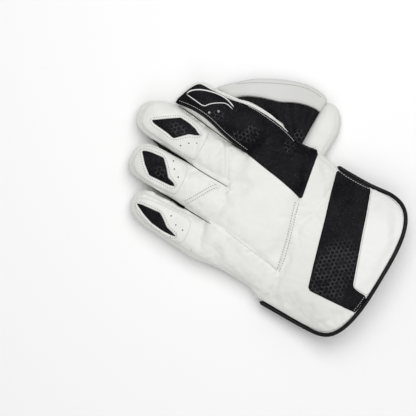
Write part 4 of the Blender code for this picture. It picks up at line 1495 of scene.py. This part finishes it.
def back_panel_fade(plan):
    """How much of the back panel stands up: it ends under the fingers' skin."""
    return smooth_step((PANEL_END - plan[:, 1]) / PANEL_FADE)


def make_trim(skin, gloss, tape):
    """Stitching, piping, eyelets and air holes on the finished pieces."""
    rows = []
    for outline in DIAMONDS.values():
        loop = evenly(rounded(outline), 1.5, closed=True)
        offset = -3.0 if inside(beside(loop, 1.0)[:1], outline)[0] else 3.0
        rows.append(Stitching(beside(np.vstack([loop, loop[:1]]), offset), 2.9, 1.6, 0.95))
    rows += [Stitching(curve(line), 3.2, 1.8, 1.1) for line in BACK_PANEL_ROWS]
    rows += [Stitching(beside(curve(KNUCKLE_SEAM), side), 3.0, 1.8, 0.95) for side in (2.0, -2.0)]
    stitches = stitched("pale_stitching", skin, rows)
    dress(stitches, thread("pale_thread", (0.38, 0.38, 0.36)), "white_leather")

    rows = [Stitching(curve(WEB_ROW), 3.0, 1.7, 1.1)]
    parts = stitched("web_stitching", skin, rows)
    dress(parts, thread("tan_thread", (0.40, 0.37, 0.30)), "white_leather")

    rows = [
        Stitching(beside(curve(STRIP_LEFT), 3.1), 2.6, 2.0, 0.8),
        Stitching(curve(STRIP_RIGHT), 2.4, 2.1, 0.9),
        Stitching(CUFF_ROW, 3.4, 2.4, 0.9),
        Stitching(BAND_ROW, 2.8, 1.6, 0.7),
    ]
    bright = stitched("bright_stitching", skin, rows)
    dress(bright, thread("bright_thread", (0.62, 0.62, 0.60)), "white_leather")

    along_edge = on_skin(skin, curve(WHITE_WELT), 0.4, steepest=0.3)
    welt = solid("white_welt", [tapered(along_edge, 4.0, 2.6)])
    dress(welt, gloss, "gloss_leather")
    nail_top = tapered(on_skin(skin, curve(NAIL_TOP), 0.4), 1.6, 1.5, ends=0.06)
    nail_base = tapered(on_skin(skin, curve(NAIL_BASE, passes=1), 0.3), 1.1, 0.9, ends=0.06)
    dress(solid("nail_piping", [nail_top, nail_base]), gloss, "gloss_leather")
    left = tapered(on_skin(skin, curve(STRIP_LEFT), 0.3), 2.6, 2.2, ends=0.03)
    roll = tapered(on_skin(skin, curve(STRIP_ROLL), 0.6), 3.4, 2.8, ends=0.05)
    dress(solid("black_piping", [left, roll]), tape, "black_binding")

    rings = solid("strip_eyelets", [eyelet(skin, x, y, 0.9, 0.8) for x, y in EYELETS])
    dress(rings, thread("eyelet_white", (0.62, 0.61, 0.56)), "white_leather")
    # Each air hole is drawn as a low black dome. Its black stands for the dark inside the hole, which is mostly shade:
    # painted shade.
    holes = solid("air_holes", [stud(skin, x, y, 1.05, 0.12) for x, y in AIR_HOLES])
    dress(holes, tape, "black_binding")
    ends = []
    for (x, y), turn in THREAD_ENDS:
        normal = skin.normal(x, y)
        along = np.array([math.cos(turn), math.sin(turn), 0.0])
        along -= normal * (along @ normal)
        place = np.array([x, y, skin.height(x, y)]) + normal * 0.2
        ends.append(bead(place, along / np.linalg.norm(along), normal, 4.0, 0.7, 0.6))
    dress(solid("loose_threads", ends), thread("yellow_thread", (0.50, 0.40, 0.16)), "white_leather")


def make_glove():
    white = white_leather()
    thumb_white = white_leather("thumb_leather", (0.735, 0.735, 0.715), 0.42)
    stalls = [f"{name}_stall" for name in STALLS]
    body = dress(make_body(), white, "white_leather", "hand_shell", *stalls, "cuff_back")
    skin = Skin(body)

    black_band = black_leather("black_band_leather", math.radians(8), BAND_PATCHES)
    black_strip = black_leather("black_strip_leather", math.radians(-20), STRIP_PATCHES)
    black_inlay = black_leather("black_inlay_leather", math.radians(14), INLAY_PATCHES)
    black_web = black_leather("black_web_leather", patches=WEB_PATCHES)
    gloss = gloss_leather()
    tape = binding_tape()

    laid = [body]

    def lay(name, outline, finish, slot, node, thickness, height=skin.height, **cut):
        piece = dress(panel(name, outline, height, thickness, **cut), finish, slot, node)
        laid.append(piece)
        return piece

    cut = {"lift": 0.2, "relief": noise_relief(0.03, 0.7, 3.0), "fade": back_panel_fade}
    lay("back_panel_leather", rounded(BACK_PANEL), white, "white_leather", "back_panel", 1.3, **cut)
    cut = {"height": bridged(skin.height), "relief": strip_relief}
    lay("index_strip", rounded(INDEX_STRIP), black_strip, "black_leather", "index_cover", 1.3, **cut)
    for name, outline in CAPS.items():
        diamond = rounded(DIAMONDS[name], passes=1, reach=1.0)
        cut = {"edge": 2.6, "holes": [diamond]}
        cap = lay(f"{name}_fingertip_cap", rounded(outline), white, "white_leather", f"{name}_cap", 1.7, **cut)
        cut = {"edge": 1.0, "spacing": 1.6}
        lay(f"{name}_inlay", diamond, black_inlay, "black_leather", f"{name}_diamond", 0.7, **cut)
    cut = {"relief": noise_relief(0.03, 0.5, 5.0)}
    lay("cuff_band_leather", rounded(CUFF_BAND), black_band, "black_leather", "cuff_band", 1.2, **cut)
    cut = {"relief": noise_relief(0.02, 0.4, 1.0)}
    lay("cuff_shield_leather", rounded(CUFF_SHIELD), gloss, "gloss_leather", "cuff_shield", 1.1, **cut)

    thumb = dress(make_thumb(), thumb_white, "white_leather", "thumb_stall")
    outline = rounded(WEB_BORDER_OUTER + WEB_BORDER_INNER, passes=1)
    # The web's leather is a darker copy of the white leather (0.60 against 0.755): painted shade, because the web's
    # slopes face the softbox and would otherwise render too bright.
    web_white_painted_shade = white_leather("web_leather", (0.60, 0.60, 0.587))
    relief = creases([beside(WEB_BORDER_OUTER[1:-1], 8.0)], 0.5, 1.2)
    cut = {"height": border_height, "edge": 4.5, "lift": 0.0, "tuck": -1.0, "relief": relief}
    border = lay("web_border_leather", outline, web_white_painted_shade, "white_leather", "web_border", 2.3, **cut)
    cut = {"edge": 1.0, "lift": 0.0, "tuck": -1.0, "spacing": 1.6}
    insert = panel("web_insert_leather", rounded(WEB_INSERT, passes=1), web_height, 0.9, **cut)
    dress(insert, black_web, "black_leather", "web_insert")

    dress(make_binding("cuff_edge_binding", False, 5.0, 4.6), tape, "black_binding", "cuff_binding")
    dress(make_binding("cuff_palm_edge_binding", True, 3.6, 3.6), tape, "black_binding", "cuff_palm_binding")
    dress(make_cuff_palm(), black_leather("black_palm_leather"), "black_leather", "cuff_palm")
    dress(make_facing(skin), pimpled_rubber(), "rubber_facing", "palm_facing")
    make_trim(Skin(*laid), gloss, tape)


def make_studio():
    """A pale floor, soft light from above and a camera straight over the glove."""
    mesh = bpy.data.meshes.new("floor")
    corners = [(x * FLOOR_REACH, y * FLOOR_REACH, 0) for x, y in ((-1, -1), (1, -1), (1, 1), (-1, 1))]
    mesh.from_pydata(corners, [], [(0, 1, 2, 3)])
    floor = shown("floor", mesh)
    paper = Finish("studio_paper", (0.93, 0.93, 0.93), 0.9)
    mesh.materials.append(paper.material)

    world = bpy.data.worlds.new("studio")
    world.use_nodes = True
    background = world.node_tree.nodes["Background"]
    background.inputs["Color"].default_value = (1.0, 1.0, 1.0, 1.0)
    background.inputs["Strength"].default_value = WORLD_STRENGTH
    bpy.context.scene.world = world
    bpy.context.scene.view_settings.view_transform = "Standard"

    centre = (Vector((*FRAME_CENTRE, 0.0)) + Vector(PLAN_ORIGIN)) * MM
    for name, place, width, power in LIGHTS:
        data = bpy.data.lights.new(name, "AREA")
        data.size = width
        data.energy = power
        light = shown(name, data)
        light.location = centre + Vector(place)
        light.rotation_euler = (centre - light.location).to_track_quat("-Z", "Y").to_euler()

    data = bpy.data.cameras.new("camera")
    data.sensor_width = SENSOR_WIDTH
    data.lens = SENSOR_WIDTH * (CAMERA_HEIGHT - FRAME_LEVEL) / FRAME_WIDTH
    data.clip_start, data.clip_end = 0.1, 10.0
    camera = shown("camera", data)
    camera.location = centre + Vector((0, 0, CAMERA_HEIGHT * MM))
    camera.rotation_euler = (0.0, 0.0, FRAME_TURN)
    bpy.context.scene.camera = camera


make_glove()
make_studio()
